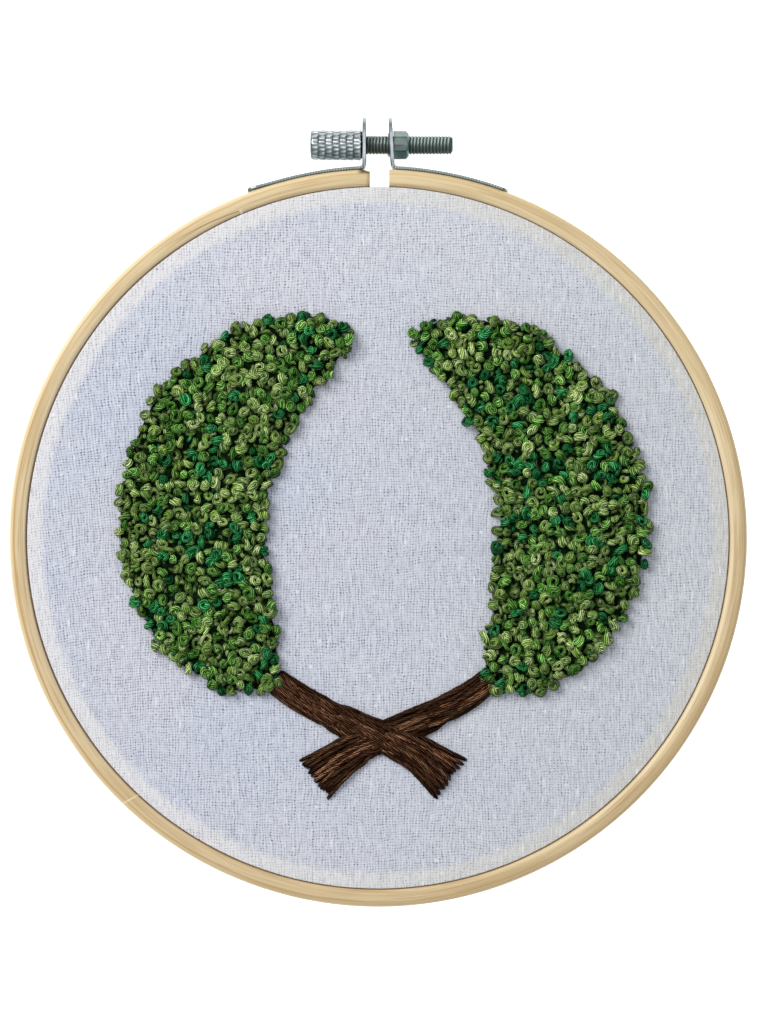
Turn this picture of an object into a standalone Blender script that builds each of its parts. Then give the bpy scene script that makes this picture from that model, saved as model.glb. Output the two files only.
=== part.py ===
"""Hoop embroidery art: a wreath of green knots and brown long stitches on open
cotton cloth, stretched in a split bamboo hoop that a thumb screw closes.

The hoop lies on its back with the embroidery upwards, +Z. +Y points to the screw.
The origin is under the middle of the whole part, screw ears included.
Run with: blender --background --python part.py
"""

from math import acos, atan2, cos, degrees, hypot, pi, radians, sin, sqrt
from random import Random

import bmesh
import bpy
from mathutils import Vector

MM = 0.001

# ---- Driving sizes -------------------------------------------------------------
GAP = 0.3 * MM                      # between neighbouring pieces

HOOP_RADIUS = 82.5 * MM             # outside of the outer ring: a 165 mm hoop
HOOP_WALL = 4.05 * MM
HOOP_DEPTH = 8.5 * MM
HOOP_OUTER_ROUND = 1.0 * MM
HOOP_INNER_ROUND = 0.5 * MM
SPLIT_LEFT = -1.85 * MM             # the two sawn ends of the outer ring, as x
SPLIT_RIGHT = 2.5 * MM
LEFT_END_EASE = 0.9 * MM            # how far each end's outer corner is rubbed down
RIGHT_END_EASE = 0.25 * MM
EASE_LENGTH = 1.2 * MM

CLOTH = 1.0 * MM                    # thickness of the sheet
CLOTH_TOP = 8.0 * MM
CLOTH_HEM = 1.0 * MM                # height of its trimmed edge above the back
CLOTH_BEND = 0.9 * MM               # radius of its turn over the inner ring

INNER_WALL = 3.2 * MM
INNER_ROUND = 0.4 * MM

EAR_TOP = 93.9 * MM                 # from the middle of the hoop
EAR_LEFT = -2.65 * MM               # the faces of the ears that look at each other
EAR_RIGHT = 2.6 * MM
STRIP = 0.7 * MM                    # thickness of the steel strip
STRIP_WIDTH = 7.6 * MM
STRIP_BEND = 0.7 * MM
STRIP_TIP = 0.62                    # width of the strip's far end, as a share
STRIP_REACH = 20.6                  # degrees from the top to the strip's far end
STRIP_LIFT = 0.5 * MM               # the left strip's end stands off the wood by this much more
LIFT_SPAN = 5.0                     # degrees of the strip that lift
LIP_RADIUS = 2.75 * MM              # the pressed lip round the right ear's hole
LIP_LENGTH = 0.4 * MM

SCREW_HEIGHT = 88.1 * MM            # the screw's axis from the middle of the hoop
SCREW_RADIUS = 1.95 * MM            # an M4 rod over its thread
SCREW_HOLE = 2.3 * MM
SCREW_TIP = 16.75 * MM
HEAD_RADIUS = 3.38 * MM
HEAD_START = -15.3 * MM
HEAD_CHAMFER = 0.7 * MM             # length of the head's rounded outer end
HEAD_BREAK = 0.35 * MM              # its edge beside the ear
TIP_CHAMFER = 0.5 * MM
KNURLS = 22
KNURL_DEPTH = 0.16 * MM

NUT_CORNERS = 6.4 * MM              # a hexagonal nut, across its corners
NUT_LENGTH = 3.3 * MM
NUT_CHAMFER = 0.7 * MM              # length of its turned outer end
NUT_FACE = 2.55 * MM                # radius that the turning leaves on the outer face
NUT_STEPS = 4                       # points along each of its six flats

WREATH_X = 1.0 * MM                 # middle of the wreath from the middle of the hoop
WREATH_Y = 3.0 * MM
BRANCH_RADIUS = 42.5 * MM
FOLIAGE_HEIGHT = 2.7 * MM
FOLIAGE_RIM = 1.3 * MM              # height of the foliage at its edge
FOLIAGE_LUMP = 0.4 * MM
FOLIAGE_ROWS = 50                   # cross rows from the stem end to the tip
FOLIAGE_COLUMNS = 13
SCALLOP = 0.07                      # share of the half width
LUMP_SEED = 7

STEM_HEIGHT = 1.3 * MM
UNDER_STEM_SHARE = 0.86             # height of the stem that passes underneath
STEM_ROWS = 15

RING_STEPS = 96                     # facets in a full circle

# ---- Sizes that follow ----------------------------------------------------------
HOOP_Y = (HOOP_RADIUS - EAR_TOP) / 2            # the hoop's middle in the frame
HOOP_BORE = HOOP_RADIUS - HOOP_WALL
SKIRT_OUTSIDE = HOOP_BORE - GAP
SKIRT_INSIDE = SKIRT_OUTSIDE - CLOTH
INNER_RADIUS = SKIRT_INSIDE - GAP
INNER_BORE = INNER_RADIUS - INNER_WALL
INNER_TOP = CLOTH_TOP - CLOTH - GAP
SCREW_Y = HOOP_Y + SCREW_HEIGHT
SCREW_Z = HOOP_DEPTH / 2
STITCH_BASE = CLOTH_TOP + GAP

# Half width of each foliage branch: degrees up from the bottom, half width
FOLIAGE_SHAPE = [
    (36.0, 3.5 * MM),
    (46.0, 9.5 * MM),
    (62.0, 14.2 * MM),
    (88.0, 16.2 * MM),
    (115.0, 15.6 * MM),
    (140.0, 12.2 * MM),
    (158.0, 7.6 * MM),
    (168.0, 3.2 * MM),
]

# Middle line of the right-hand cut stem and its branch, from the wreath's middle,
# and its width there: x, y, width
STEM_LINE = [
    (15.5 * MM, -57.0 * MM, 12.0 * MM),
    (8.0 * MM, -51.4 * MM, 8.6 * MM),
    (0.0 * MM, -47.4 * MM, 7.2 * MM),
    (-9.0 * MM, -43.6 * MM, 6.8 * MM),
    (-17.6 * MM, -39.2 * MM, 6.3 * MM),
    (-24.0 * MM, -34.6 * MM, 5.6 * MM),
]

# Finishes: colour, roughness, metallic
FINISHES = {
    "bamboo": ((0.70, 0.50, 0.27, 1.0), 0.45, 0.0),
    "cotton": ((0.72, 0.73, 0.78, 1.0), 0.90, 0.0),
    "leaf_thread": ((0.16, 0.33, 0.06, 1.0), 0.55, 0.0),
    "bark_thread": ((0.07, 0.025, 0.012, 1.0), 0.60, 0.0),
    "steel": ((0.56, 0.57, 0.58, 1.0), 0.32, 1.0),
}


# ---- Helpers ---------------------------------------------------------------------
def material(name):
    found = bpy.data.materials.get(name)
    if found:
        return found
    colour, roughness, metallic = FINISHES[name]
    made = bpy.data.materials.new(name)
    made.use_nodes = True
    shader = made.node_tree.nodes["Principled BSDF"]
    shader.inputs["Base Color"].default_value = colour
    shader.inputs["Roughness"].default_value = roughness
    shader.inputs["Metallic"].default_value = metallic
    return made


def add_object(name, bm, finish, place=(0.0, 0.0, 0.0), helper=False):
    """Turn a bmesh into an object, its faces outwards. A helper is a cutter or a second operand."""
    bmesh.ops.recalc_face_normals(bm, faces=bm.faces)
    mesh = bpy.data.meshes.new(name)
    bm.to_mesh(mesh)
    bm.free()
    mesh.materials.append(material(finish))
    mesh.shade_smooth()
    mesh.set_sharp_from_angle(angle=radians(35))
    made = bpy.data.objects.new(name, mesh)
    made.location = place
    bpy.context.scene.collection.objects.link(made)
    if helper:
        made.hide_render = True
        made.display_type = "WIRE"
    return made


def combine(target, other, operation):
    """Cut the helper from the target, or join it on."""
    joint = target.modifiers.new(f"{operation.lower()} {other.name}", "BOOLEAN")
    joint.operation = operation
    joint.object = other
    joint.solver = "EXACT"


def loft(sections, closed=False):
    """A skin over equal rings of points; open lofts get flat ends."""
    bm = bmesh.new()
    rings = [[bm.verts.new(point) for point in section] for section in sections]
    pairs = list(zip(rings, rings[1:]))
    if closed:
        pairs.append((rings[-1], rings[0]))
    for first, second in pairs:
        for i in range(len(first)):
            j = (i + 1) % len(first)
            bm.faces.new((first[i], first[j], second[j], second[i]))
    if not closed:
        bm.faces.new(rings[0])
        bm.faces.new(rings[-1])
    return bm


def rounded_box(r_low, r_high, z_low, z_high, rounds):
    """Corners of a ring's section as (r, z), each turned off with its own radius and steps.

    The order is inner back, outer back, outer front, inner front.
    """
    corners = [(r_low, z_low, 180), (r_high, z_low, 270), (r_high, z_high, 0), (r_low, z_high, 90)]
    points = []
    for (r, z, start), (radius, steps) in zip(corners, rounds):
        centre_r = r + radius if r == r_low else r - radius
        centre_z = z + radius if z == z_low else z - radius
        for k in range(steps + 1):
            angle = radians(start + 90 * k / steps)
            points.append((centre_r + radius * cos(angle), centre_z + radius * sin(angle)))
    return points


def ring_section(profile, angle):
    return [(r * cos(angle), r * sin(angle), z) for r, z in profile]


def full_ring(profile):
    angles = [2 * pi * k / RING_STEPS for k in range(RING_STEPS)]
    return loft([ring_section(profile, angle) for angle in angles], closed=True)


def between(rows, at):
    """Read a table of rows (position, value) smoothly at a position."""
    for (x0, y0), (x1, y1) in zip(rows, rows[1:]):
        if at <= x1:
            share = max(0.0, (at - x0) / (x1 - x0))
            share = share * share * (3 - 2 * share)
            return y0 + (y1 - y0) * share
    return rows[-1][1]


def smooth_line(points, count):
    """Points along a smooth curve through the given rows, of any width."""
    padded = [points[0], *points, points[-1]]
    spans = len(points) - 1
    line = []
    for k in range(count):
        at = spans * k / (count - 1)
        i = min(int(at), spans - 1)
        t = at - i
        four = padded[i:i + 4]
        line.append(tuple(
            0.5 * (2 * b + (c - a) * t + (2 * a - 5 * b + 4 * c - d) * t ** 2
                   + (3 * b - a - 3 * c + d) * t ** 3)
            for a, b, c, d in zip(*four)
        ))
    return line


# ---- The bamboo rings ---------------------------------------------------------------
def make_outer_hoop():
    """The split ring. Its ends are sawn straight across the gap."""
    profile = rounded_box(
        HOOP_BORE, HOOP_RADIUS, 0.0, HOOP_DEPTH,
        [(HOOP_INNER_ROUND, 1), (HOOP_OUTER_ROUND, 2), (HOOP_OUTER_ROUND, 2), (HOOP_INNER_ROUND, 1)],
    )

    def sawn(x, ease):
        """The section in the plane of a saw cut, its outer side lowered by the ease."""
        section = []
        for r, z in profile:
            outerness = (r - HOOP_BORE) / HOOP_WALL
            r = r - ease * outerness ** 3
            section.append((x, sqrt(r * r - x * x), z))
        return section

    sections = [sawn(SPLIT_RIGHT, RIGHT_END_EASE), sawn(SPLIT_RIGHT + EASE_LENGTH, 0.0)]
    step = 2 * pi / RING_STEPS
    first = acos((SPLIT_RIGHT + EASE_LENGTH) / HOOP_RADIUS)
    last = acos((SPLIT_LEFT - EASE_LENGTH) / HOOP_RADIUS) - 2 * pi
    for k in range(RING_STEPS):
        angle = pi / 2 - k * step
        if last + step / 3 < angle < first - step / 3:
            sections.append(ring_section(profile, angle))
    sections += [sawn(SPLIT_LEFT - EASE_LENGTH, 0.0), sawn(SPLIT_LEFT, LEFT_END_EASE)]
    add_object("outer_hoop", loft(sections), "bamboo", (0.0, HOOP_Y, 0.0))


def make_inner_hoop():
    profile = rounded_box(INNER_BORE, INNER_RADIUS, 0.0, INNER_TOP, [(INNER_ROUND, 1)] * 4)
    add_object("inner_hoop", full_ring(profile), "bamboo", (0.0, HOOP_Y, 0.0))


# ---- The cloth ------------------------------------------------------------------------
def make_cloth():
    """One sheet: flat over the inner ring, its edge turned down between the rings."""
    bend = [radians(90 * k / 3) for k in range(4)]
    outside = [
        (SKIRT_OUTSIDE - CLOTH_BEND + CLOTH_BEND * sin(a), CLOTH_TOP - CLOTH_BEND + CLOTH_BEND * cos(a))
        for a in bend
    ]
    profile = [*outside, (SKIRT_OUTSIDE, CLOTH_HEM), (SKIRT_INSIDE, CLOTH_HEM)]
    profile.append((SKIRT_INSIDE, CLOTH_TOP - CLOTH))
    bm = bmesh.new()
    rings = []
    for k in range(RING_STEPS):
        section = ring_section(profile, 2 * pi * k / RING_STEPS)
        rings.append([bm.verts.new(point) for point in section])
    for first, second in zip(rings, rings[1:] + rings[:1]):
        for i in range(len(profile) - 1):
            bm.faces.new((first[i], first[i + 1], second[i + 1], second[i]))
    for column, height in ((0, CLOTH_TOP), (len(profile) - 1, CLOTH_TOP - CLOTH)):
        middle = bm.verts.new((0.0, 0.0, height))
        for first, second in zip(rings, rings[1:] + rings[:1]):
            bm.faces.new((first[column], second[column], middle))
    add_object("cloth", bm, "cotton", (0.0, HOOP_Y, 0.0))


# ---- The steel strips with their ears ----------------------------------------------------
def along_screw(name, radius, length, x):
    """A helper cylinder on the screw's axis, its middle at x."""
    bm = bmesh.new()
    bmesh.ops.create_cone(bm, cap_ends=True, segments=24, radius1=radius, radius2=radius, depth=length)
    helper = add_object(name, bm, "steel", (x, SCREW_Y, SCREW_Z), helper=True)
    helper.rotation_euler = (0.0, pi / 2, 0.0)
    return helper


def make_bracket(name, side):
    """A strip bent round the ring and then straight up into a round-topped ear.

    side is -1 for the left one and 1 for the right one.
    """
    ear_face = EAR_LEFT if side < 0 else EAR_RIGHT
    ear_middle = side * ear_face + STRIP / 2       # distance from the hoop's axis plane
    radius = HOOP_RADIUS + GAP + STRIP / 2
    turn = STRIP_BEND + STRIP / 2
    # the bend's centre lies a turn's radius out from the strip and from the ear
    centre_x = ear_middle + turn
    centre_y = sqrt((radius + turn) ** 2 - centre_x ** 2)
    meets = atan2(centre_x, centre_y)
    half = STRIP_WIDTH / 2
    stations = []                                   # x, y, normal x, normal y, half width
    steps = 9
    lift = STRIP_LIFT if side < 0 else 0.0
    for k in range(steps + 1):
        angle = radians(STRIP_REACH) + (meets - radians(STRIP_REACH)) * k / steps
        lifting = max(0.0, (degrees(angle) - STRIP_REACH + LIFT_SPAN) / LIFT_SPAN)
        here = radius + lift * lifting ** 2
        width = half * (STRIP_TIP if k == 0 else 1.0)
        stations.append((here * sin(angle), here * cos(angle), sin(angle), cos(angle), width))
    bends = 4
    start = -pi / 2 - meets                         # direction from the bend's centre, as an angle
    for k in range(1, bends + 1):
        angle = start + (-pi - start) * k / bends
        x = centre_x + turn * cos(angle)
        y = centre_y + turn * sin(angle)
        stations.append((x, y, -cos(angle), -sin(angle), half))
    rounds = 6
    last = radians(83)                              # short of 90, which leaves a narrow flat top
    for k in range(rounds + 1):
        angle = last * k / rounds
        rise = half * sin(angle) / sin(last)
        stations.append((ear_middle, EAR_TOP - half + rise, 1.0, 0.0, half * cos(angle)))
    sections = []
    for x, y, nx, ny, width in stations:
        out = (x + nx * STRIP / 2, y + ny * STRIP / 2)
        back = (x - nx * STRIP / 2, y - ny * STRIP / 2)
        sections.append([
            (side * px, py, SCREW_Z + dz)
            for (px, py), dz in ((out, -width), (out, width), (back, width), (back, -width))
        ])
    bracket = add_object(name, loft(sections), "steel", (0.0, HOOP_Y, 0.0))
    if side > 0:
        # the lip sinks halfway into the ear and stands out of its inner face
        reach = LIP_LENGTH + STRIP / 2
        lip = along_screw(f"{name}_lip", LIP_RADIUS, reach, EAR_RIGHT - LIP_LENGTH + reach / 2)
        combine(bracket, lip, "UNION")
    hole = along_screw(f"{name}_hole", SCREW_HOLE, 4 * STRIP, side * ear_middle)
    combine(bracket, hole, "DIFFERENCE")


# ---- The thumb screw and its nut ---------------------------------------------------------
def make_thumb_screw(axis_empty):
    """A knurled head and the threaded rod, turned about +X. Its origin lies on its axis."""
    head_end = EAR_LEFT - STRIP - GAP
    # along the axis, radius, whether the surface is knurled
    turned = [
        (HEAD_START, HEAD_RADIUS - 1.6 * HEAD_CHAMFER, False),
        (HEAD_START + 0.25 * HEAD_CHAMFER, HEAD_RADIUS - 0.7 * HEAD_CHAMFER, False),
        (HEAD_START + HEAD_CHAMFER, HEAD_RADIUS, True),
        (head_end - HEAD_BREAK, HEAD_RADIUS, True),
        (head_end, HEAD_RADIUS - HEAD_BREAK, False),
        (head_end, SCREW_RADIUS, False),
        (SCREW_TIP - TIP_CHAMFER, SCREW_RADIUS, False),
        (SCREW_TIP, SCREW_RADIUS - TIP_CHAMFER, False),
    ]
    sections = []
    for x, radius, knurled in turned:
        section = []
        for k in range(2 * KNURLS):
            angle = pi * k / KNURLS
            here = radius - (KNURL_DEPTH if knurled and k % 2 else 0.0)
            section.append((x, here * sin(angle), here * cos(angle)))
        sections.append(section)
    screw = add_object("thumb_screw", loft(sections), "steel")
    screw.parent = axis_empty


def make_nut():
    """The hexagonal nut behind the right ear, one of its flats facing the front."""
    start = EAR_RIGHT + STRIP + GAP
    end = start + NUT_LENGTH
    flat = NUT_CORNERS / 2 * cos(pi / 6)
    count = 6 * NUT_STEPS

    def ring(x, largest):
        """Points of the outline at x, none further from the axis than the turning leaves it."""
        points = []
        for k in range(count):
            angle = 2 * pi * k / count
            reach = min(flat / cos(angle % (pi / 3) - pi / 6), largest)
            points.append((x, reach * cos(angle), reach * sin(angle)))
        return points

    outside = [ring(start, NUT_CORNERS), ring(end - NUT_CHAMFER, NUT_CORNERS), ring(end, NUT_FACE)]
    bore = [ring(end, SCREW_HOLE), ring(start, SCREW_HOLE)]
    add_object("screw_nut", loft(outside + bore, closed=True), "steel", (0.0, SCREW_Y, SCREW_Z))


# ---- The embroidery --------------------------------------------------------------------
def make_foliage(name, side):
    """One branch of close knots, as a lumpy crescent that is thickest halfway up.

    side is -1 for the left branch and 1 for the right one.
    """
    first, last = FOLIAGE_SHAPE[0][0], FOLIAGE_SHAPE[-1][0]
    lumps = Random(LUMP_SEED + side)
    bm = bmesh.new()
    top = []
    base = []
    for i in range(FOLIAGE_ROWS):
        turn = first + (last - first) * i / (FOLIAGE_ROWS - 1)
        angle = radians(turn)
        upper = []
        lower = []
        for j in range(FOLIAGE_COLUMNS):
            across = 2 * j / (FOLIAGE_COLUMNS - 1) - 1
            scallop = SCALLOP * sin(1.7 * i + 1.3 * side) * abs(across)
            radius = BRANCH_RADIUS + between(FOLIAGE_SHAPE, turn) * across * (1 + scallop)
            x = side * radius * sin(angle)
            y = -radius * cos(angle)
            crown = (FOLIAGE_HEIGHT - FOLIAGE_RIM) * (1 - across ** 4)
            # neighbours go up and down in turn, so each bump is about two knots wide
            lump = FOLIAGE_LUMP * lumps.uniform(0.2, 1.0) * (1 if (i + j) % 2 else -1)
            upper.append(bm.verts.new((x, y, STITCH_BASE + FOLIAGE_RIM + crown + lump)))
            lower.append(bm.verts.new((x, y, STITCH_BASE)))
        top.append(upper)
        base.append(lower)
    end = FOLIAGE_COLUMNS - 1
    for near, far in zip(top, top[1:]):
        for j in range(end):
            bm.faces.new((near[j], near[j + 1], far[j + 1], far[j]))
    rim = [(0, j) for j in range(end)]
    rim += [(i, end) for i in range(FOLIAGE_ROWS - 1)]
    rim += [(FOLIAGE_ROWS - 1, end - j) for j in range(end)]
    rim += [(FOLIAGE_ROWS - 1 - i, 0) for i in range(FOLIAGE_ROWS - 1)]
    for (i, j), (k, m) in zip(rim, rim[1:] + rim[:1]):
        bm.faces.new((top[i][j], top[k][m], base[k][m], base[i][j]))
    bm.faces.new([base[i][j] for i, j in rim])
    bmesh.ops.delete(bm, geom=[v for v in bm.verts if not v.link_faces], context="VERTS")
    add_object(name, bm, "leaf_thread", (WREATH_X, HOOP_Y + WREATH_Y, 0.0))


def stem_mesh(side, height):
    """One bundle of long stitches with a crowned section, wide at its cut end."""
    line = smooth_line(STEM_LINE, STEM_ROWS)
    sections = []
    for k, (x, y, width) in enumerate(line):
        before = line[max(k - 1, 0)]
        after = line[min(k + 1, STEM_ROWS - 1)]
        run = Vector((after[0] - before[0], after[1] - before[1]))
        length = hypot(*run)
        across = Vector((-run.y, run.x)) / length
        section = []
        for reach, rise in ((-0.5, 0.0), (0.5, 0.0), (0.5, 0.5), (0.28, 0.9), (0.0, 1.0), (-0.28, 0.9), (-0.5, 0.5)):
            px = x + across.x * width * reach
            py = y + across.y * width * reach
            section.append((-side * px, py, STITCH_BASE + height * rise))
        sections.append(section)
    return loft(sections)


def make_stems():
    """The two stems, which cross below the foliage. The left branch's stem lies on top."""
    place = (WREATH_X, HOOP_Y + WREATH_Y, 0.0)
    upper = add_object("stems", stem_mesh(-1, STEM_HEIGHT), "bark_thread", place)
    lower = stem_mesh(1, STEM_HEIGHT * UNDER_STEM_SHARE)
    lower = add_object("stem_under", lower, "bark_thread", place, helper=True)
    combine(upper, lower, "UNION")


# ---- Build ---------------------------------------------------------------------------------
for old in list(bpy.data.objects):
    bpy.data.objects.remove(old)

make_outer_hoop()
make_inner_hoop()
make_cloth()
make_bracket("bracket_left", -1)
make_bracket("bracket_right", 1)

screw_axis = bpy.data.objects.new("screw_axis", None)
screw_axis.location = (0.0, SCREW_Y, SCREW_Z)
bpy.context.scene.collection.objects.link(screw_axis)
make_thumb_screw(screw_axis)
make_nut()

make_foliage("foliage_left", -1)
make_foliage("foliage_right", 1)
make_stems()
print(f"hoop {2 * HOOP_RADIUS / MM:.0f} mm across, its middle at y {HOOP_Y / MM:.2f} mm")
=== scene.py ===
# %% [markdown]
# # A hoop embroidery, from bare solids to cloth, thread, bamboo and steel
#
# The real object is a square of open white cotton, stretched between two bamboo rings
# and worked with a wreath of green knots over two brown stems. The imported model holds
# its solids at their real size, in metres, lying on its back with +Y towards the screw.
# This lesson keeps that frame and gives each solid a finer piece with its own finish.

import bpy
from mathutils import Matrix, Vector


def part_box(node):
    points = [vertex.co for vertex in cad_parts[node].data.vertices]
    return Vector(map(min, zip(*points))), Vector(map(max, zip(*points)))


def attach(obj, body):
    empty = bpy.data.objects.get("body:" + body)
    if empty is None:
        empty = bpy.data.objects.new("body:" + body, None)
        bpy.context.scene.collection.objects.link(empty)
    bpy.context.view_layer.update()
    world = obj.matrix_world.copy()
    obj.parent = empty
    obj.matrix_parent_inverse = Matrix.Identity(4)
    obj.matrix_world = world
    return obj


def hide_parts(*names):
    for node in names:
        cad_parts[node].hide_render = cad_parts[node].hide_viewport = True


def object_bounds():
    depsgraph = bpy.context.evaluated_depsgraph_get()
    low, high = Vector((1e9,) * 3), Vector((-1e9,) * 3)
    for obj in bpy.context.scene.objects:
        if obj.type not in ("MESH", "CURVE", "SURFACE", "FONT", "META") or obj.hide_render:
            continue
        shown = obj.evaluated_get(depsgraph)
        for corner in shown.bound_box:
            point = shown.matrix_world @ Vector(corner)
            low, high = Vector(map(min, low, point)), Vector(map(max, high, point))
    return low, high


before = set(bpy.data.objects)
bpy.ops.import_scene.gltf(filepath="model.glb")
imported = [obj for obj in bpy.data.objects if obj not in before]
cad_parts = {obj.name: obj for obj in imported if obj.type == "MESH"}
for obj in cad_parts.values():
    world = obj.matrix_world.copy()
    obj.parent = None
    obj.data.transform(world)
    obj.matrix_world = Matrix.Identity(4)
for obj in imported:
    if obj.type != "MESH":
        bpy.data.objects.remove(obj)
cad_low, cad_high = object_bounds()
print("solids:", sorted(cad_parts))

# %% [markdown]
# ## Sizes
#
# A finer piece has to lie where its solid lies. So the hoop's middle, its radius and its
# heights are read from the boxes of the solids, and only what a box can't tell, such as
# the wall of a ring, is written again as a named size.

# %% Sizes read from the solids
from math import acos, atan2, ceil, cos, degrees, hypot, pi, radians, sin, sqrt
from random import Random

import bmesh
import bpy
import numpy as np
from mathutils import Matrix, Vector

MM = 0.001
hoop_low, hoop_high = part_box("outer_hoop")
cloth_low, cloth_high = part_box("cloth")
inner_low, inner_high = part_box("inner_hoop")

HOOP_Y = (cloth_low.y + cloth_high.y) / 2       # the hoop's middle lies at x = 0
HOOP_RADIUS = (hoop_high.x - hoop_low.x) / 2
HOOP_DEPTH = hoop_high.z
HOOP_WALL = 4.05 * MM
INNER_RADIUS = (inner_high.x - inner_low.x) / 2
INNER_WALL = 3.2 * MM
INNER_TOP = inner_high.z
CLOTH_TOP = cloth_high.z
CLOTH_THICK = 1.0 * MM
STITCH_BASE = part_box("foliage_left")[0].z
SCREW_Y, SCREW_Z = HOOP_Y + 88.1 * MM, HOOP_DEPTH / 2
ON_HOOP = (0.0, HOOP_Y, 0.0)                    # where pieces round the hoop are set
ON_SCREW = (0.0, SCREW_Y, SCREW_Z)              # and where those round the screw are
print(f"hoop {2 * HOOP_RADIUS / MM:.1f} mm across, middle at y {HOOP_Y / MM:.2f} mm")
print(f"cloth on top at {CLOTH_TOP / MM:.2f} mm, stitches from {STITCH_BASE / MM:.2f} mm")

# %% [markdown]
# ## Camera and light
#
# The photograph looks straight down on the hoop, with hardly any perspective. Moving the
# camera far back with a long lens gives the same, so the picture's scale at the front of
# the ring fixes the lens. One large soft light from the upper left does most of the work:
# it makes the ring bright where its rounding faces left and brown where it turns away. A
# weaker one above and a pale world keep the shadows open.

# %% Camera
PICTURE_WIDTH, PICTURE_HEIGHT = 761, 1024       # pixels of the photograph
PIXELS_PER_MM = 4.478                           # at the front of the ring
HOOP_PIXEL = (378.0, 537.9)                     # the hoop's middle in the photograph
CAMERA_HEIGHT = 0.95

view_middle_x = (PICTURE_WIDTH / 2 - HOOP_PIXEL[0]) / PIXELS_PER_MM * MM
view_middle_y = HOOP_Y + (HOOP_PIXEL[1] - PICTURE_HEIGHT / 2) / PIXELS_PER_MM * MM
view_height = PICTURE_HEIGHT / PIXELS_PER_MM * MM

camera_data = bpy.data.cameras.new("camera")
camera_data.sensor_width = 36.0
camera_data.lens = camera_data.sensor_width * (CAMERA_HEIGHT - HOOP_DEPTH) / view_height
camera = bpy.data.objects.new("camera", camera_data)
camera.location = (view_middle_x, view_middle_y, CAMERA_HEIGHT)
bpy.context.scene.collection.objects.link(camera)
bpy.context.scene.camera = camera
bpy.context.scene.view_settings.view_transform = "Standard"
print(f"lens {camera_data.lens:.0f} mm, view {view_height / MM:.1f} mm high")


# %% Lights
def add_light(name, place, size, power, colour=(1.0, 1.0, 1.0)):
    """A square soft light that looks at the hoop."""
    data = bpy.data.lights.new(name, "AREA")
    data.size = size
    data.energy = power
    data.color = colour
    lamp = bpy.data.objects.new(name, data)
    lamp.location = place
    lamp.rotation_euler = (-Vector(place)).to_track_quat("-Z", "Y").to_euler()
    bpy.context.scene.collection.objects.link(lamp)


add_light("key_light", (-0.90, 0.72, 1.05), 0.9, 19.0, (1.0, 0.985, 0.96))
add_light("top_light", (0.1, 0.0, 1.7), 1.2, 4.5)

world = bpy.data.worlds.new("studio")
world.use_nodes = True
world.node_tree.nodes["Background"].inputs["Color"].default_value = (0.90, 0.95, 1.0, 1.0)
world.node_tree.nodes["Background"].inputs["Strength"].default_value = 0.38
bpy.context.scene.world = world
print("lights:", [item.name for item in bpy.data.lights])

# %% [markdown]
# ## Writing a finish as a formula
#
# A finish is a net of small nodes, and a long net is hard to read. The class below wraps
# one output of a node, so that `1 - gap` or `height * 0.5 + grain` adds the Math nodes by
# itself. Every other kind of node comes from its one method `add`.


# %% Shader values that can be added and multiplied
class Wire:
    """One output in a material's nodes, which takes part in sums like a number."""

    def __init__(self, tree, socket=None):
        self.tree = tree
        self.socket = socket

    def add(self, kind, settings=None, inputs=None, output=0):
        """Add any node: first its settings, then the values or wires of its sockets."""
        node = self.tree.nodes.new("ShaderNode" + kind)
        for name, value in (settings or {}).items():
            setattr(node, name, value)
        for name, value in (inputs or {}).items():
            if isinstance(value, Wire):
                self.tree.links.new(value.socket, node.inputs[name])
            else:
                node.inputs[name].default_value = value
        return Wire(self.tree, node.outputs[output])

    def math(self, operation, *others):
        """A Math node of this value and the others after it."""
        return self.add("Math", {"operation": operation}, dict(enumerate((self, *others))))

    def __add__(self, other):
        return self.math("ADD", other)

    def __sub__(self, other):
        return self.math("SUBTRACT", other)

    def __rsub__(self, other):
        return self.add("Math", {"operation": "SUBTRACT"}, {0: other, 1: self})

    def __mul__(self, other):
        return self.math("MULTIPLY", other)

    def __truediv__(self, other):
        return self.math("DIVIDE", other)

    def __neg__(self):
        return 0.0 - self

    def __abs__(self):
        return self.math("ABSOLUTE")

    __radd__ = __add__
    __rmul__ = __mul__


def smooth(wire, low, high):
    """0 at low, 1 at high and a smooth change between them."""
    return wire.add("MapRange", {"interpolation_type": "SMOOTHSTEP"}, {0: wire, 1: low, 2: high})


def vector(x, y, z=0.0):
    """A vector of three values, the first of them a wire."""
    return x.add("CombineXYZ", None, {0: x, 1: y, 2: z})


def split(at):
    """The three values of a vector."""
    return [at.add("SeparateXYZ", None, {0: at}, output=axis) for axis in range(3)]


def length_of(at):
    return at.add("VectorMath", {"operation": "LENGTH"}, {0: at}, output=1)


def noise(at, detail=2.0):
    """Soft random values near 0.5 at a point."""
    return at.add("TexNoise", None, {"Vector": at, "Scale": 1.0, "Detail": detail})


print("a wire adds nodes for +, -, * and /")

# %% [markdown]
# Colours are written as they are read off a screen, red, green and blue from 0 to 255.
# Most finishes are layers: a ground, and then one colour after the other, each where it
# shows. So one function mixes two colours and another lays a row of them.


# %% Colours
def screen_colour(red, green, blue):
    """A colour as read off a screen in Blender's linear values."""
    return (*[(value / 255) ** 2.2 for value in (red, green, blue)], 1.0)


def mix_colour(first, second, share):
    """The first colour where share is 0 and the second where it is 1."""
    first, second = [
        colour if isinstance(colour, Wire) else screen_colour(*colour) for colour in (first, second)
    ]
    return share.add("Mix", {"data_type": "RGBA"}, {0: share, 6: first, 7: second}, output=2)


def paint(colour, *layers):
    """Lay colours over a ground. Each layer is a colour and its share, from 0 to 1."""
    for tint, share in layers:
        colour = mix_colour(colour, tint, share)
    return colour


print("white in linear values:", screen_colour(255, 255, 255))

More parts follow.
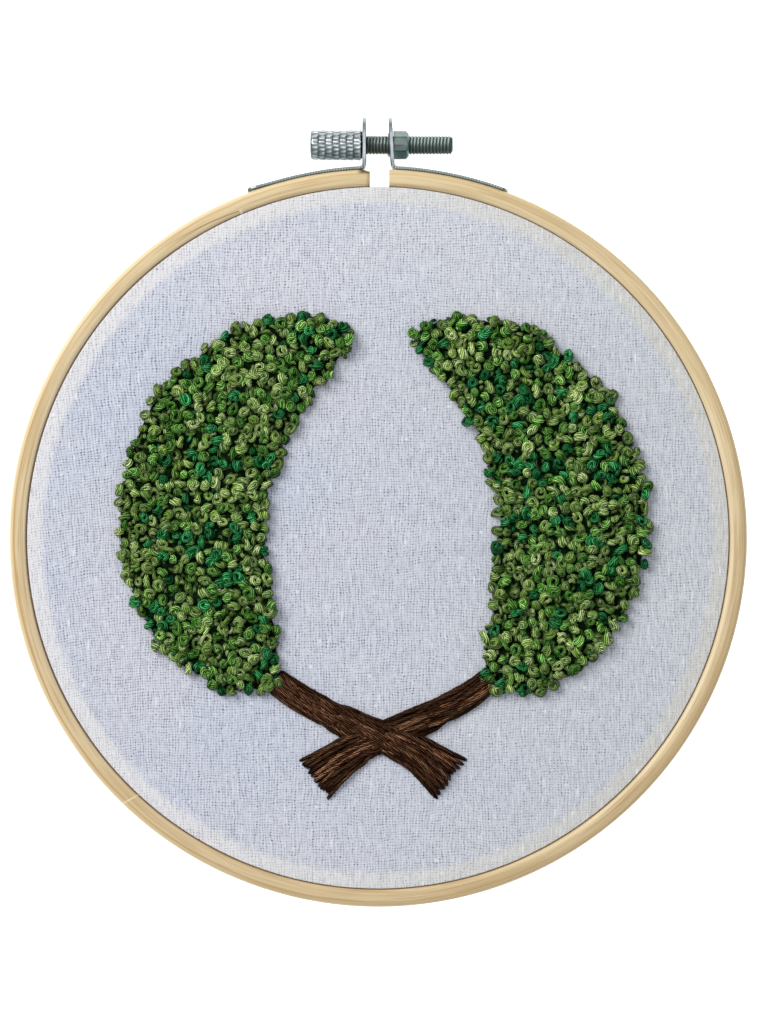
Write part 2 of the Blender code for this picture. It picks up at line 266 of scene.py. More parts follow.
# %% [markdown]
# A finish then has two halves. What is the same all over is set on the shader itself, and
# what changes over the surface, such as colour, roughness and the height that feeds a
# Bump node, is linked. Places are measured in millimetres, so that a number in a formula
# is a size on the object.


# %% Start and end a finish
def start_finish(name, **constants):
    """A new material, its shader's constant values set, and a wire to build on."""
    finish = bpy.data.materials.new(name)
    finish.use_nodes = True
    shader = finish.node_tree.nodes["Principled BSDF"]
    for socket, value in constants.items():
        shader.inputs[socket.replace("_", " ")].default_value = value
    return finish, Wire(finish.node_tree)


def end_finish(finish, colour, roughness, height, depth, strength=1.0, **more):
    """Link what changes over the surface. depth is the height's size in metres."""
    tree = finish.node_tree
    shader = tree.nodes["Principled BSDF"]
    bump = height.add("Bump", None, {"Height": height, "Distance": depth, "Strength": strength})
    links = {"Base Color": colour, "Roughness": roughness, "Normal": bump, **more}
    for name, wire in links.items():
        tree.links.new(wire.socket, shader.inputs[name])


def place_in_mm(start):
    """Where a point lies, as three values in millimetres."""
    place = start.add("TexCoord", output="Object")
    return split(place.add("VectorMath", {"operation": "SCALE"}, {0: place, "Scale": 1 / MM}))


def place_round_hoop(start):
    """Radius, angle and height of a point. The angle is 0 at the bottom and pi at the split."""
    x, y, z = place_in_mm(start)
    y = y - HOOP_Y / MM
    return length_of(vector(x, y)), x.math("ARCTAN2", -y), z


print("finishes are written in millimetres")

# %% [markdown]
# ## Meshes
#
# The rings, the strips and the nut are skins over a row of equal sections, so one small
# loft serves them all. Each piece is then put on the body that carries it.


# %% Skins over sections
def loft(sections, closed=False):
    """Points and faces of a skin over equal rings of points. Open lofts get flat ends."""
    size = len(sections[0])
    points = [point for section in sections for point in section]
    faces = []
    spans = len(sections) if closed else len(sections) - 1
    for i in range(spans):
        here = i * size
        there = (i + 1) % len(sections) * size
        for j in range(size):
            k = (j + 1) % size
            faces.append((here + j, here + k, there + k, there + j))
    if not closed:
        faces.append(tuple(range(size))[::-1])
        faces.append(tuple(range(len(points) - size, len(points))))
    return points, faces


def add_piece(name, points, faces, finish, slot, body="hoop", place=(0.0, 0.0, 0.0), sharp=None):
    """An object that rides on a body. Edges sharper than the given degrees stay crisp."""
    mesh = bpy.data.meshes.new(name)
    mesh.from_pydata(points, [], faces)
    mesh.transform(Matrix.Translation(place))
    skin = bmesh.new()
    skin.from_mesh(mesh)
    bmesh.ops.recalc_face_normals(skin, faces=skin.faces)
    skin.to_mesh(mesh)
    skin.free()
    mesh.materials.append(finish)
    mesh.shade_smooth()
    if sharp:
        mesh.set_sharp_from_angle(angle=radians(sharp))
    piece = bpy.data.objects.new(name, mesh)
    bpy.context.scene.collection.objects.link(piece)
    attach(piece, body)
    return piece


def tell(piece):
    """Print what was made."""
    triangles = sum(len(face.vertices) - 2 for face in piece.data.polygons)
    size = " x ".join(f"{side / MM:.1f}" for side in piece.dimensions)
    print(f"{piece.name}: {triangles} triangles, {size} mm")


print("a loft makes one closed skin over a row of sections")

# %% [markdown]
# ## Bamboo
#
# The rings are bent strips of bamboo. Its fibres run round the ring as long thin lines,
# darker and a little sunken, so the pattern is noise that is stretched along the angle.
# The outer ring is made of two plies: a thin golden one outside and a paler one inside,
# with a fine joint between them. Painted shade darkens the inner edge, more widely on the
# left where it turns from the light, and painted highlights and shade lighten or darken the
# sides of the ring that face or turn from the light.


# %% Plain bamboo
def make_bamboo(name):
    """The bare wood: fibres along the ring, and the wires that more detail needs."""
    finish, start = start_finish(name, IOR=1.5, Coat_Weight=0.12, Coat_Roughness=0.3)
    radius, angle, z = place_round_hoop(start)
    fibre = noise(vector(radius * 2.3, angle * 2.2, z * 2.3), 3.0)
    hair = noise(vector(radius * 5.2, angle * 6.0, z * 5.2))
    patch = noise(vector(radius * 0.5, angle * 3.0, z * 0.5))
    line = (164, 124, 74)
    colour = paint(
        (228, 204, 160),
        ((209, 181, 134), smooth(patch, 0.36, 0.66)),
        (line, smooth(fibre, 0.49, 0.72) * 0.40),
        (line, smooth(hair, 0.50, 0.70) * 0.46),
    )
    height = (1 - fibre) * 0.5 + hair * 0.3
    return finish, (radius, angle, z), colour, height, fibre * 0.2 + 0.34


def end_bamboo(finish, colour, height, roughness):
    end_finish(finish, colour, roughness, height, 0.055 * MM, 0.6)
    return finish


finish, place, colour, height, roughness = make_bamboo("bamboo_inner_ring")
bamboo_inner = end_bamboo(finish, colour, height, roughness)
print("made", bamboo_inner.name)

# %% The outer ring's bamboo
PLY_JOINT = 81.35                               # millimetres from the hoop's middle
SCARF_ANGLE = radians(-43.5)                    # where the strip's own joint crosses the ring
LAP_ANGLE, LAP_RADIUS = radians(-157.2), 79.3   # where the inner ply's end shows as a nick
LAP_SLOPE = 5.2                                 # millimetres outwards for each radian from it
SPLIT_LEFT_MM = -1.85                           # where the left sawn end lies


def make_outer_bamboo():
    """The outer ring's wood: its two plies and their joints, with painted light and shade on its edges and
    sides.
    """
    finish, (radius, angle, z), colour, height, roughness = make_bamboo("bamboo_outer_ring")
    sine, cosine = angle.math("SINE"), angle.math("COSINE")
    right, left = sine.math("MAXIMUM", 0.0), (-sine).math("MAXIMUM", 0.0)
    bottom, top = cosine.math("MAXIMUM", 0.0), (-cosine).math("MAXIMUM", 0.0)
    wander = noise(vector(angle * 5.0, angle * 0.0), 1.0)
    off_joint = abs(radius + wander * 0.5 - (PLY_JOINT + 0.25))
    joint = smooth(off_joint, 0.34, 0.02) * smooth(z, 6.6, 7.6)
    joint = joint * (0.42 - sine * 0.28)
    painted_inner_edge_shade = smooth(radius, left * 0.16 + 78.76, left * 0.16 + 78.56)
    painted_highlight_band = smooth(radius, 79.8, 79.1) * (1 - painted_inner_edge_shade)
    colour = paint(
        colour,
        ((226, 202, 156), smooth(radius, PLY_JOINT, PLY_JOINT + 0.35) * 0.6),  # outer ply
        ((182, 138, 82), joint),  # joint of the plies
        ((118, 80, 48), painted_inner_edge_shade * 0.85),  # painted shade along the inner edge, wider on the left
        ((250, 236, 200), painted_highlight_band * (right * 0.40 + left * 0.45)),  # painted highlight on the inner rounding beside it
        ((180, 148, 100), bottom * 0.18),  # painted shade, darker at the bottom
        ((246, 222, 170), top * 0.20),  # painted highlight, lighter at the top
        ((172, 140, 76), smooth(radius, 81.3, 82.2) * right * 0.45),  # painted shade on the outer rounding at the right
        ((250, 238, 214), smooth(radius, 82.0, 82.4) * left * 0.5),  # painted highlight on the outer rounding at the left
    )

    slant = angle - SCARF_ANGLE + (radius - 80.6) * 0.004
    scarf = smooth(abs(slant), 0.0035, 0.0012)
    from_lap = angle - LAP_ANGLE
    off_lap = abs(radius - LAP_RADIUS - from_lap * LAP_SLOPE)
    lap = smooth(off_lap, 0.22, 0.06) * smooth(from_lap, -0.004, 0.004)
    lap = lap * smooth(from_lap, 0.30, 0.08)
    nick = smooth(abs(from_lap), 0.0050, 0.0018)
    nick = nick * smooth(radius, LAP_RADIUS + 0.25, LAP_RADIUS + 0.05)
    from_cut = (angle + pi) * radius + SPLIT_LEFT_MM
    on_left = smooth(angle, 0.1, -0.1)
    painted_strip_shadow = smooth(from_cut, 3.2, 1.6) * smooth(radius, 81.2, 81.8)
    colour = paint(
        colour,
        ((246, 226, 184), scarf * 0.7),  # the outer strip's own joint
        ((150, 112, 62), lap * 0.75),  # where the inner ply's end lies
        ((250, 240, 214), nick * 0.85),  # and its cut
        ((132, 100, 62), smooth(from_cut, 1.1, 0.0) * on_left * 0.6),  # darker brown near the left sawn end
        ((64, 54, 40), painted_strip_shadow * on_left * 0.85),  # painted shadow beside the strip at the left sawn end
    )
    height = height - joint * 0.7 - scarf * 0.5 - lap * 0.6
    return end_bamboo(finish, colour, height, roughness)


bamboo_outer = make_outer_bamboo()
print("made", bamboo_outer.name)

# %% [markdown]
# ## The rings
#
# A ring's section is a box with turned edges, whose front face is slightly crowned by
# sanding, so that it catches the light on the side that faces it. The section is swept
# round the hoop. The outer ring is sawn through at the top, and the front outer corner of
# each sawn end is rubbed down, the left one more and over a longer way than the right.


# %% Section of a ring
CORNER_STEPS = 6
FRONT_STEPS = 5                                 # the crowned face's parts


def ring_profile(r_low, r_high, z_high, inner_round, outer_round, crown):
    """A section as (r, z) from the back's inner corner, outwards and round."""
    corners = [
        (r_low, 0.0, inner_round, 180),
        (r_high, 0.0, outer_round, 270),
        (r_high, z_high, outer_round, 0),
        (r_low, z_high, inner_round, 90),
    ]
    arcs = []
    for r, z, size, start in corners:
        middle_r = r + size if r == r_low else r - size
        middle_z = z + size if z == 0.0 else z - size
        for k in range(CORNER_STEPS + 1):
            turn = radians(start + 90 * k / CORNER_STEPS)
            arcs.append((middle_r + size * cos(turn), middle_z + size * sin(turn)))
    points = []
    for (r0, z0), (r1, z1) in zip(arcs, arcs[1:] + arcs[:1]):
        parts = FRONT_STEPS if min(z0, z1) > z_high - crown / 10 else 1
        points += [(r0 + (r1 - r0) * k / parts, z0 + (z1 - z0) * k / parts) for k in range(parts)]
    middle, half = (r_low + r_high) / 2, (r_high - r_low) / 2
    return [
        (r, z - crown * ((r - middle) / half) ** 2 * max(0.0, 2 * z / z_high - 1))
        for r, z in points
    ]


OUTER_ROUND, INNER_RING_ROUND, CROWN = 1.0 * MM, 0.4 * MM, 0.3 * MM
HOOP_BORE = HOOP_RADIUS - HOOP_WALL
inner_bore = INNER_RADIUS - INNER_WALL
outer_profile = ring_profile(HOOP_BORE, HOOP_RADIUS, HOOP_DEPTH, OUTER_ROUND, OUTER_ROUND, CROWN)
inner_profile = ring_profile(
    inner_bore, INNER_RADIUS, INNER_TOP, INNER_RING_ROUND, INNER_RING_ROUND, 0.0,
)
print(f"sections of {len(outer_profile)} and {len(inner_profile)} points")

# %% The split outer ring and the whole inner ring
RING_STATIONS = 240
SPLIT_LEFT, SPLIT_RIGHT = SPLIT_LEFT_MM * MM, 2.5 * MM
LEFT_END_EASE, RIGHT_END_EASE = 1.0 * MM, 0.25 * MM
LEFT_EASE_LENGTH, RIGHT_EASE_LENGTH = 2.6 * MM, 1.2 * MM
EASE_STEPS = 6


def section_at(profile, angle):
    return [(r * cos(angle), r * sin(angle), z) for r, z in profile]


def sawn_section(x, ease):
    """The section in the plane of a saw cut, its front outer corner lowered by the ease."""
    section = []
    for r, z in outer_profile:
        r = r - ease * ((r - HOOP_BORE) / HOOP_WALL) ** 3 * (z / HOOP_DEPTH) ** 2
        section.append((x, sqrt(r * r - x * x), z))
    return section


def sawn_end(x, side, ease, length):
    """The last sections of an end, from the sound ring to the cut."""
    sections = []
    for k in range(EASE_STEPS + 1):
        share = k / EASE_STEPS
        sections.append(sawn_section(x + side * length * (1 - share), ease * share ** 2))
    return sections


first = acos((SPLIT_RIGHT + RIGHT_EASE_LENGTH) / HOOP_RADIUS)
last = acos((SPLIT_LEFT - LEFT_EASE_LENGTH) / HOOP_RADIUS) - 2 * pi
turns = [first + (last - first) * k / RING_STATIONS for k in range(1, RING_STATIONS)]
sections = sawn_end(SPLIT_RIGHT, 1, RIGHT_END_EASE, RIGHT_EASE_LENGTH)[::-1]
sections += [section_at(outer_profile, turn) for turn in turns]
sections += sawn_end(SPLIT_LEFT, -1, LEFT_END_EASE, LEFT_EASE_LENGTH)
outer_ring = add_piece("outer_ring", *loft(sections), bamboo_outer, "bamboo", place=ON_HOOP, sharp=50)
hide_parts("outer_hoop")
tell(outer_ring)

sections = [section_at(inner_profile, 2 * pi * k / RING_STATIONS) for k in range(RING_STATIONS)]
inner_ring = add_piece("inner_ring", *loft(sections, True), bamboo_inner, "bamboo", place=ON_HOOP)
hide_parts("inner_hoop")
tell(inner_ring)

# %% [markdown]
# ## Open cotton
#
# The ground is a thin plain weave whose threads stand a little apart. Seen from above it
# is pale threads with a grid of darker gaps, and the gaps aren't even: whole columns and
# rows of them are wide or nearly closed, and here and there a thread has a thick white
# slub. So each gap is a product of a column part and a row part, each with its own width
# from noise that is stretched along the thread. Thick and thin places of the upright
# threads show more than the grid itself, so two finer noises shade them. At the left the
# cloth was pulled askew when it was stretched, and its threads turn a few degrees. Over
# the inner ring the gaps show wood instead of shade, so it looks lighter and warmer there.


# %% Cotton finish
COLUMN_PITCH, ROW_PITCH = 0.66, 0.59            # millimetres from thread to thread
ASKEW_FROM = -45.0                              # left of this the threads turn


def between_threads(place, width):
    """1 in the middle of a gap of one direction, 0 on its threads. Both are in threads."""
    across = 0.5 - (place * (2 * pi)).math("COSINE") * 0.5
    return smooth(across + width * 0.60, 0.74, 1.30)


def off_points(at):
    """How far the nearest of many scattered points is."""
    return at.add("TexVoronoi", None, {"Vector": at, "Scale": 1.0, "Randomness": 1.0})


def make_cotton():
    finish, start = start_finish("open_cotton", IOR=1.4, Sheen_Weight=0.15)
    x, y, z = place_in_mm(start)
    on_ring = smooth(place_round_hoop(start)[0], 74.0, 75.8)
    drift = noise(vector(x * 0.05, y * 0.05), 1.0)
    drift_other = noise(vector(x * 0.05 + 7.0, y * 0.05 + 3.0), 1.0)
    wander = noise(vector(x * 0.50, y * 0.30, 1.0), 1.0)
    wander_other = noise(vector(x * 0.30, y * 0.50, 8.0), 1.0)
    askew = (x - ASKEW_FROM).math("MINIMUM", 0.0)
    column = (x - askew * y * 0.0035 + drift * 2.2 + wander * 0.9) / COLUMN_PITCH
    row = (y + askew * askew * 0.0025 + drift_other * 2.2 + wander_other * 0.9) / ROW_PITCH
    up_and_down = between_threads(column, noise(vector(column * 0.9, y * 0.10)))
    side_to_side = between_threads(row, noise(vector(x * 0.06, row * 0.9, 5.0)))
    open_stretch = smooth(noise(vector(column * 0.8, y * 0.20, 11.0)), 0.34, 0.62)
    spot = noise(vector(x * 0.7, y * 0.5, 9.0))
    hole_at = vector(column.math("FLOOR"), row.math("FLOOR"))
    hole = hole_at.add("TexWhiteNoise", {"noise_dimensions": "2D"}, {"Vector": hole_at})
    gap = up_and_down * (0.20 + side_to_side * 0.80) * (open_stretch * 0.6 + 0.4) + side_to_side * 0.16
    gap = gap * smooth(spot, 0.10, 0.54) * (hole * 0.9 + 0.45) * (1 - on_ring * 0.45)

    blob = smooth(off_points(vector(x * 0.17, y * 0.19, 2.0)), 0.11, 0.02)
    streak = smooth(off_points(vector(x * 0.42, y * 0.085, 6.0)), 0.14, 0.04)
    slub = (blob * 0.8).math("MAXIMUM", streak * 0.8)
    yarn = noise(vector(column * 1.1, y * 0.12, 3.0))
    uneven = noise(vector(x * 2.7, y * 0.30, 12.0)) * 0.62
    uneven = uneven + noise(vector(x * 3.3, y * 1.5, 14.0), 1.0) * 0.38
    cloud = noise(vector(x * 0.03, y * 0.03, 4.0))
    right = smooth(x, -50.0, 70.0)
    colour = paint(
        (206, 211, 228),
        ((214, 215, 226), smooth(cloud, 0.35, 0.65)),  # slow clouds
        ((204, 207, 212), right * 0.8),  # painted shade, greyer to the right, away from the light
        ((236, 238, 244), smooth(y, 20.0, 75.0) * 0.25),  # paler towards the screw
        ((232, 234, 241), smooth(yarn, 0.46, 0.68) * 0.3),  # whiter yarns
        (mix_colour((238, 235, 234), (215, 212, 202), right), on_ring * 0.75),  # wood seen through the weave, with painted shade to the right
        ((240, 242, 247), smooth(uneven, 0.50, 0.66) * 0.52),  # thick places
        ((156, 160, 178), smooth(uneven, 0.50, 0.34) * 0.42),  # thin places
        ((96, 101, 121), gap * (0.98 - right * 0.26)),  # gaps: painted shade seen through the open weave
        ((246, 247, 250), slub * 0.80),  # slubs
    )
    height = slub * 0.7 - gap * 0.8 + yarn * 0.2 + uneven * 0.5
    end_finish(finish, colour, gap * 0.1 + 0.82, height, 0.10 * MM, 0.6)
    return finish


cotton = make_cotton()
print(f"weave of {10 / COLUMN_PITCH:.0f} by {10 / ROW_PITCH:.0f} threads a centimetre")

# %% [markdown]
# ## The cloth
#
# One sheet is flat over the inner ring, turns down over its edge and ends between the two
# rings near the back. A flat disc has more cloth at its edge than the ring has room for,
# so the turned-down part falls into small pleats, which show from behind. The sheet is
# made as a profile swept round the hoop, top and underside in one closed skin.

# %% The sheet
CLOTH_STATIONS = 384
CLOTH_HEM = 1.0 * MM                            # height of its cut edge above the back
CLOTH_BEND, BEND_PARTS = 0.3 * MM, 6
SKIRT_OUTSIDE = HOOP_BORE - 0.03 * MM
HEM_THICK = 0.5 * MM
SKIRT_STEP = 1.02 * MM
PLEATS, PLEAT_DEPTH = 88, 0.22 * MM
PUFF, PUFF_WAVES, PUFF_SEED = 0.06 * MM, 7, 3   # slow waves of the stretched top


def skirt_line(thick_share, heights):
    """Points down the turned part. thick_share is 0 on its outside and 1 on its inside."""
    line = []
    for z in heights:
        down = (CLOTH_TOP - z) / (CLOTH_TOP - CLOTH_HEM)
        thick = CLOTH_THICK + (HEM_THICK - CLOTH_THICK) * down
        middle = SKIRT_OUTSIDE - CLOTH_THICK / 2
        line.append((middle + thick * (0.5 - thick_share), z, down))
    return line


FLAT_STEP, FLAT_PARTS = 7.4 * MM, 10
flat_radii = [k * FLAT_STEP for k in range(1, FLAT_PARTS + 1)]
profile = [(r, CLOTH_TOP, 0.0) for r in flat_radii]
for k in range(BEND_PARTS + 1):
    turn = radians(90 * k / BEND_PARTS)
    drop = CLOTH_BEND * (1 - cos(turn))
    profile.append((SKIRT_OUTSIDE - CLOTH_BEND * (1 - sin(turn)), CLOTH_TOP - drop, 0.0))
skirt_heights = [CLOTH_TOP - CLOTH_BEND - SKIRT_STEP * k for k in range(1, 6)] + [CLOTH_HEM]
profile += skirt_line(0.0, skirt_heights)
profile += skirt_line(1.0, skirt_heights[::-1])
inner_radii = [SKIRT_OUTSIDE - CLOTH_THICK, *flat_radii[::-1]]
profile += [(r, CLOTH_TOP - CLOTH_THICK, 0.0) for r in inner_radii]

waves = Random(PUFF_SEED)
puffs = []
for k in range(PUFF_WAVES):
    puffs.append((waves.uniform(0.02, 0.07) / MM, waves.uniform(0, 2 * pi), waves.uniform(0, 2 * pi)))


def cloth_point(r, z, down, angle):
    """A point of the profile turned to an angle, with its pleat or its wave added."""
    pleat = sin(PLEATS * angle + 1.5 * sin(5 * angle)) * PLEAT_DEPTH * down
    x, y = (r + pleat) * cos(angle), (r + pleat) * sin(angle)
    still = max(0.0, 1 - (r / (INNER_RADIUS - INNER_WALL)) ** 6)
    for pace, heading, phase in puffs:
        along = x * cos(heading) + y * sin(heading)
        z += PUFF * still * sin(pace * along + phase) / PUFF_WAVES ** 0.5
    return x, y, z


angles = [2 * pi * k / CLOTH_STATIONS for k in range(CLOTH_STATIONS)]
points = [cloth_point(*row, angle) for angle in angles for row in profile]
size = len(profile)
faces = []
for i in range(CLOTH_STATIONS):
    here, there = i * size, (i + 1) % CLOTH_STATIONS * size
    faces += [(here + j, here + j + 1, there + j + 1, there + j) for j in range(size - 1)]
for column, height in ((0, CLOTH_TOP), (size - 1, CLOTH_TOP - CLOTH_THICK)):
    middle = len(points)
    points.append(cloth_point(0.0, height, 0.0, 0.0))
    for i in range(CLOTH_STATIONS):
        faces.append((i * size + column, (i + 1) % CLOTH_STATIONS * size + column, middle))

sheet = add_piece("cotton_sheet", points, faces, cotton, "cotton_cloth", place=ON_HOOP)
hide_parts("cloth")
tell(sheet)

# %% [markdown]
# ## Zinc-plated steel
#
# The strips, the screw and the nut are plated steel, handled enough to be a little dull.
# The plating is a cool grey with faint darker clouds and fine rolling marks, so the
# roughness changes with the clouds. The strips' cut edges, which face the camera, were
# sheared: they are darker and show fine ridges. The left strip's end is painted pale as a
# highlight, hardly metallic, with a painted dark outline of shade. The crests of the knurl
# and the thread are painted light and their valleys dark, painted highlight and shade with
# some dirt, so both follow the distance from the axis.


# %% Steel plating
def start_steel(name, tint):
    """Plating with its clouds and rolling marks."""
    finish, start = start_finish(name, Metallic=1.0)
    x, y, z = place_in_mm(start)
    cloud = noise(vector(x * 0.5, y * 0.5, z * 0.5))
    marks = noise(vector(x * 1.5, y * 8.0, z * 8.0))
    dull = [value * 0.88 for value in tint]
    colour = mix_colour(dull, tint, smooth(cloud, 0.35, 0.65))
    return finish, start, (x, y, z), cloud, marks, colour


print("plating starts every steel finish")

# %% The strips' steel
STRIP_FRONT = 7.75                              # millimetres: above this lies the cut edge
SHEAR_PITCH = 0.62
EAR_FOOT = 84.0                                 # from the hoop's middle: the ears start here
EAR_TOP_SHADE = 91.2                            # and here their rounded tops turn away
EAR_MIDDLE = 3.05                               # how far each ear stands from the hoop's middle line
EAR_LEAN = 0.05                                 # sideways step of the right ear for each upwards
LEFT_TIP = -27.9                                # the left strip's end, painted pale as a highlight


def make_strip_steel():
    finish, start, (x, y, z), cloud, marks, colour = start_steel("strip_steel", (208, 215, 217))
    radius, angle, z = place_round_hoop(start)
    edge = smooth(z, STRIP_FRONT, STRIP_FRONT + 0.1)
    edge = edge * (1 - smooth(radius, EAR_FOOT, EAR_FOOT + 1.5) * 0.80)
    ridge = (angle * (HOOP_RADIUS / MM * 2 * pi / SHEAR_PITCH)).math("SINE") * edge
    leant = (SCREW_Y / MM - y) * EAR_LEAN * smooth(x, -0.1, 0.1)
    painted_shade_rim = smooth(abs(abs(x) - leant - EAR_MIDDLE), 0.24, 0.40)
    painted_shade_rim = painted_shade_rim * smooth(radius, EAR_FOOT + 1.0, EAR_FOOT + 2.5)
    facing_up = split(start.add("TexCoord", output="Normal"))[2]
    painted_tip_highlight = smooth(x, LEFT_TIP + 0.8, LEFT_TIP + 0.4) * smooth(facing_up, 0.10, 0.35)
    colour = paint(
        colour,
        ((108, 122, 119), edge * (0.75 + ridge * 0.25)),  # sheared edge
        ((92, 104, 104), painted_shade_rim * 0.9),  # painted shade on the broken edges of the ears
        ((136, 147, 147), smooth(radius, EAR_TOP_SHADE, EAR_TOP_SHADE + 2.4) * 0.8),  # painted shade on the rounded ear tops, which turn away
        ((250, 252, 252), painted_tip_highlight),  # painted highlight on the left strip's end
        ((96, 106, 106), smooth(facing_up, 0.97, 0.85) * painted_tip_highlight),  # painted dark outline of shade round it
    )
    roughness = cloud * 0.12 + marks * 0.08 + 0.24 + painted_tip_highlight * 0.3
    height = marks * 0.25 + ridge * 0.5
    end_finish(finish, colour, roughness, height, 0.03 * MM, 0.5, Metallic=1 - painted_tip_highlight * 0.95)
    return finish


strip_steel = make_strip_steel()
print("made", strip_steel.name)

# %% The screw's steel
HEAD_BACK = -3.80                               # the head ends here
HEAD_VALLEY, HEAD_CREST = 3.20, 3.44            # radii of the knurl
SHANK_VALLEY, SHANK_CREST = 1.88, 2.10
COLLAR_SHADE = 2.24, 2.30                       # radii from which the collar is painted dark as the shade in the slit


def make_screw_steel():
    finish, start, (x, y, z), cloud, marks, colour = start_steel("screw_steel", (233, 239, 241))
    reach = length_of(vector(y - SCREW_Y / MM, z - SCREW_Z / MM))
    behind = smooth(x, HEAD_BACK - 0.06, HEAD_BACK - 0.01)
    # the knurl's and the thread's crests get a painted highlight, their valleys painted shade with some dirt
    knurled = mix_colour((97, 109, 107), colour, smooth(reach, HEAD_VALLEY, HEAD_CREST))
    # painted highlight: the thread's crests are lighter on their upper side
    painted_light_upper = smooth(y, SCREW_Y / MM - 0.5, SCREW_Y / MM + 1.0)
    crest = mix_colour((122, 132, 126), (172, 186, 182), painted_light_upper)
    threaded = paint(
        (80, 88, 83),
        (crest, smooth(reach, SHANK_VALLEY, SHANK_CREST)),
        ((40, 47, 46), smooth(reach, *COLLAR_SHADE)),  # collar, painted dark as the shade in the slit before the ear
    )
    colour = mix_colour(knurled, threaded, behind)
    roughness = cloud * 0.10 + behind * 0.30 + 0.26
    end_finish(finish, colour, roughness, marks * 0.2, 0.02 * MM, 0.4)
    return finish


screw_steel = make_screw_steel()
print("made", screw_steel.name)

# %% The nut's steel
MARK_DOWN = 0.33                                # a line of rust, below the nut's middle


def make_nut_steel():
    finish, start, (x, y, z), cloud, marks, colour = start_steel("nut_steel", (126, 142, 139))
    up = y - SCREW_Y / MM
    around = up.math("ARCTAN2", z - SCREW_Z / MM)
    off_corner = abs((around * 3.0).math("COSINE"))
    off_mark = abs(up + cloud * 0.4 + (MARK_DOWN - 0.2))
    mark_width = smooth(x, 6.4, 4.0) * 0.22 + 0.05
    mark = smooth(off_mark - mark_width, 0.08, -0.08)
    mark = mark * smooth(z, SCREW_Z / MM + 2.5, SCREW_Z / MM + 2.7)
    colour = paint(
        colour,
        ((78, 100, 94), smooth(up + cloud * 0.5, 0.15, -0.45) * 0.70),  # painted shade and reflection, darker towards the lower half
        ((140, 164, 156), smooth(up, -1.5, -1.7) * 0.8),  # lowest edge
        ((58, 74, 70), smooth(off_corner, 0.20, 0.05) * 0.8),  # painted shade along the corners
        ((106, 74, 72), mark * smooth(x, 6.5, 5.6) * 0.75),  # line of rust
    )
    end_finish(finish, colour, cloud * 0.12 + marks * 0.08 + 0.30, marks * 0.25, 0.03 * MM, 0.5)
    return finish


nut_steel = make_nut_steel()
print("made", nut_steel.name)

# %% [markdown]
# ## The strips and their ears
#
# A steel strip hugs the ring on each side of the split and is bent straight up into a
# round-topped ear that the screw passes through. Each is one piece of strip, so it is one
# loft along the bend, its long edges slightly broken, with the hole cut out of it. It was
# drawn a little thinner where it hugs the ring. The hole of the right ear has a pressed
# lip. The left strip stands off the wood near its end, which bends back to it.

# %% Shape of a strip
EAR_TOP = cad_high.y - HOOP_Y + 0.3 * MM
EAR_LEFT, EAR_RIGHT = -2.65 * MM, 2.6 * MM
STRIP = 0.85 * MM                               # thickness of an ear
HUG_STRIP = 0.62 * MM                           # thickness along the ring
STRIP_GAP = 0.04 * MM
STRIP_WIDTH = 7.6 * MM
STRIP_BEND = 0.7 * MM
STRIP_REACH = 20.6                              # degrees from the top to the far end
STRIP_LIFT = 0.5 * MM
LIFT_SPAN = 5.0                                 # degrees of the left strip that lift
HOOK_LENGTH = 1.5 * MM                          # its end, bent back to the wood
SCREW_HOLE = 2.3 * MM
EDGE_BREAK = 0.13 * MM
HUG_STEPS, BEND_STEPS, CROWN_STEPS = 40, 8, 14
TIP_ROUND = 1.6 * MM                            # rounding of the strip's far end


def strip_stations(side):
    """Along the strip: its middle, the way its outer face looks, half width, thickness."""
    ear_middle = side * (EAR_LEFT if side < 0 else EAR_RIGHT) + STRIP / 2
    lean = EAR_LEAN if side > 0 else 0.0
    hole_y = SCREW_Y - HOOP_Y
    radius = HOOP_RADIUS + STRIP_GAP + HUG_STRIP / 2
    turn = STRIP_BEND + STRIP / 2
    centre_x = ear_middle + lean * (hole_y - EAR_FOOT * MM) + turn
    centre_y = sqrt((radius + turn) ** 2 - centre_x ** 2)
    meets = atan2(centre_x, centre_y)
    half = STRIP_WIDTH / 2
    stations = []
    for k in range(HUG_STEPS + 1):
        share = (k / HUG_STEPS) ** 1.6
        angle = radians(STRIP_REACH) + (meets - radians(STRIP_REACH)) * share
        lifting = max(0.0, (degrees(angle) - STRIP_REACH + LIFT_SPAN) / LIFT_SPAN)
        from_end = (radians(STRIP_REACH) - angle) * radius
        hook = max(0.0, 1 - from_end / HOOK_LENGTH)
        here = radius + (STRIP_LIFT * (lifting ** 2 - 0.8 * hook ** 2) if side < 0 else 0.0)
        in_round = max(0.0, TIP_ROUND - from_end)
        width = half - TIP_ROUND + sqrt(TIP_ROUND ** 2 - in_round ** 2)
        place = here * sin(angle), here * cos(angle)
        stations.append((*place, sin(angle), cos(angle), width, HUG_STRIP))
    start = -pi / 2 - meets
    for k in range(1, BEND_STEPS + 1):
        angle = start + (-pi - start) * k / BEND_STEPS
        x, y = centre_x + turn * cos(angle), centre_y + turn * sin(angle)
        thick = HUG_STRIP + (STRIP - HUG_STRIP) * k / BEND_STEPS
        stations.append((x, y, -cos(angle), -sin(angle), half, thick))
    last = radians(87)                              # short of 90, which leaves a narrow flat top
    for k in range(CROWN_STEPS + 1):
        angle = last * k / CROWN_STEPS
        y = EAR_TOP - half + half * sin(angle) / sin(last)
        stations.append((ear_middle + lean * (hole_y - y), y, 1.0, 0.0, half * cos(angle), STRIP))
    return stations


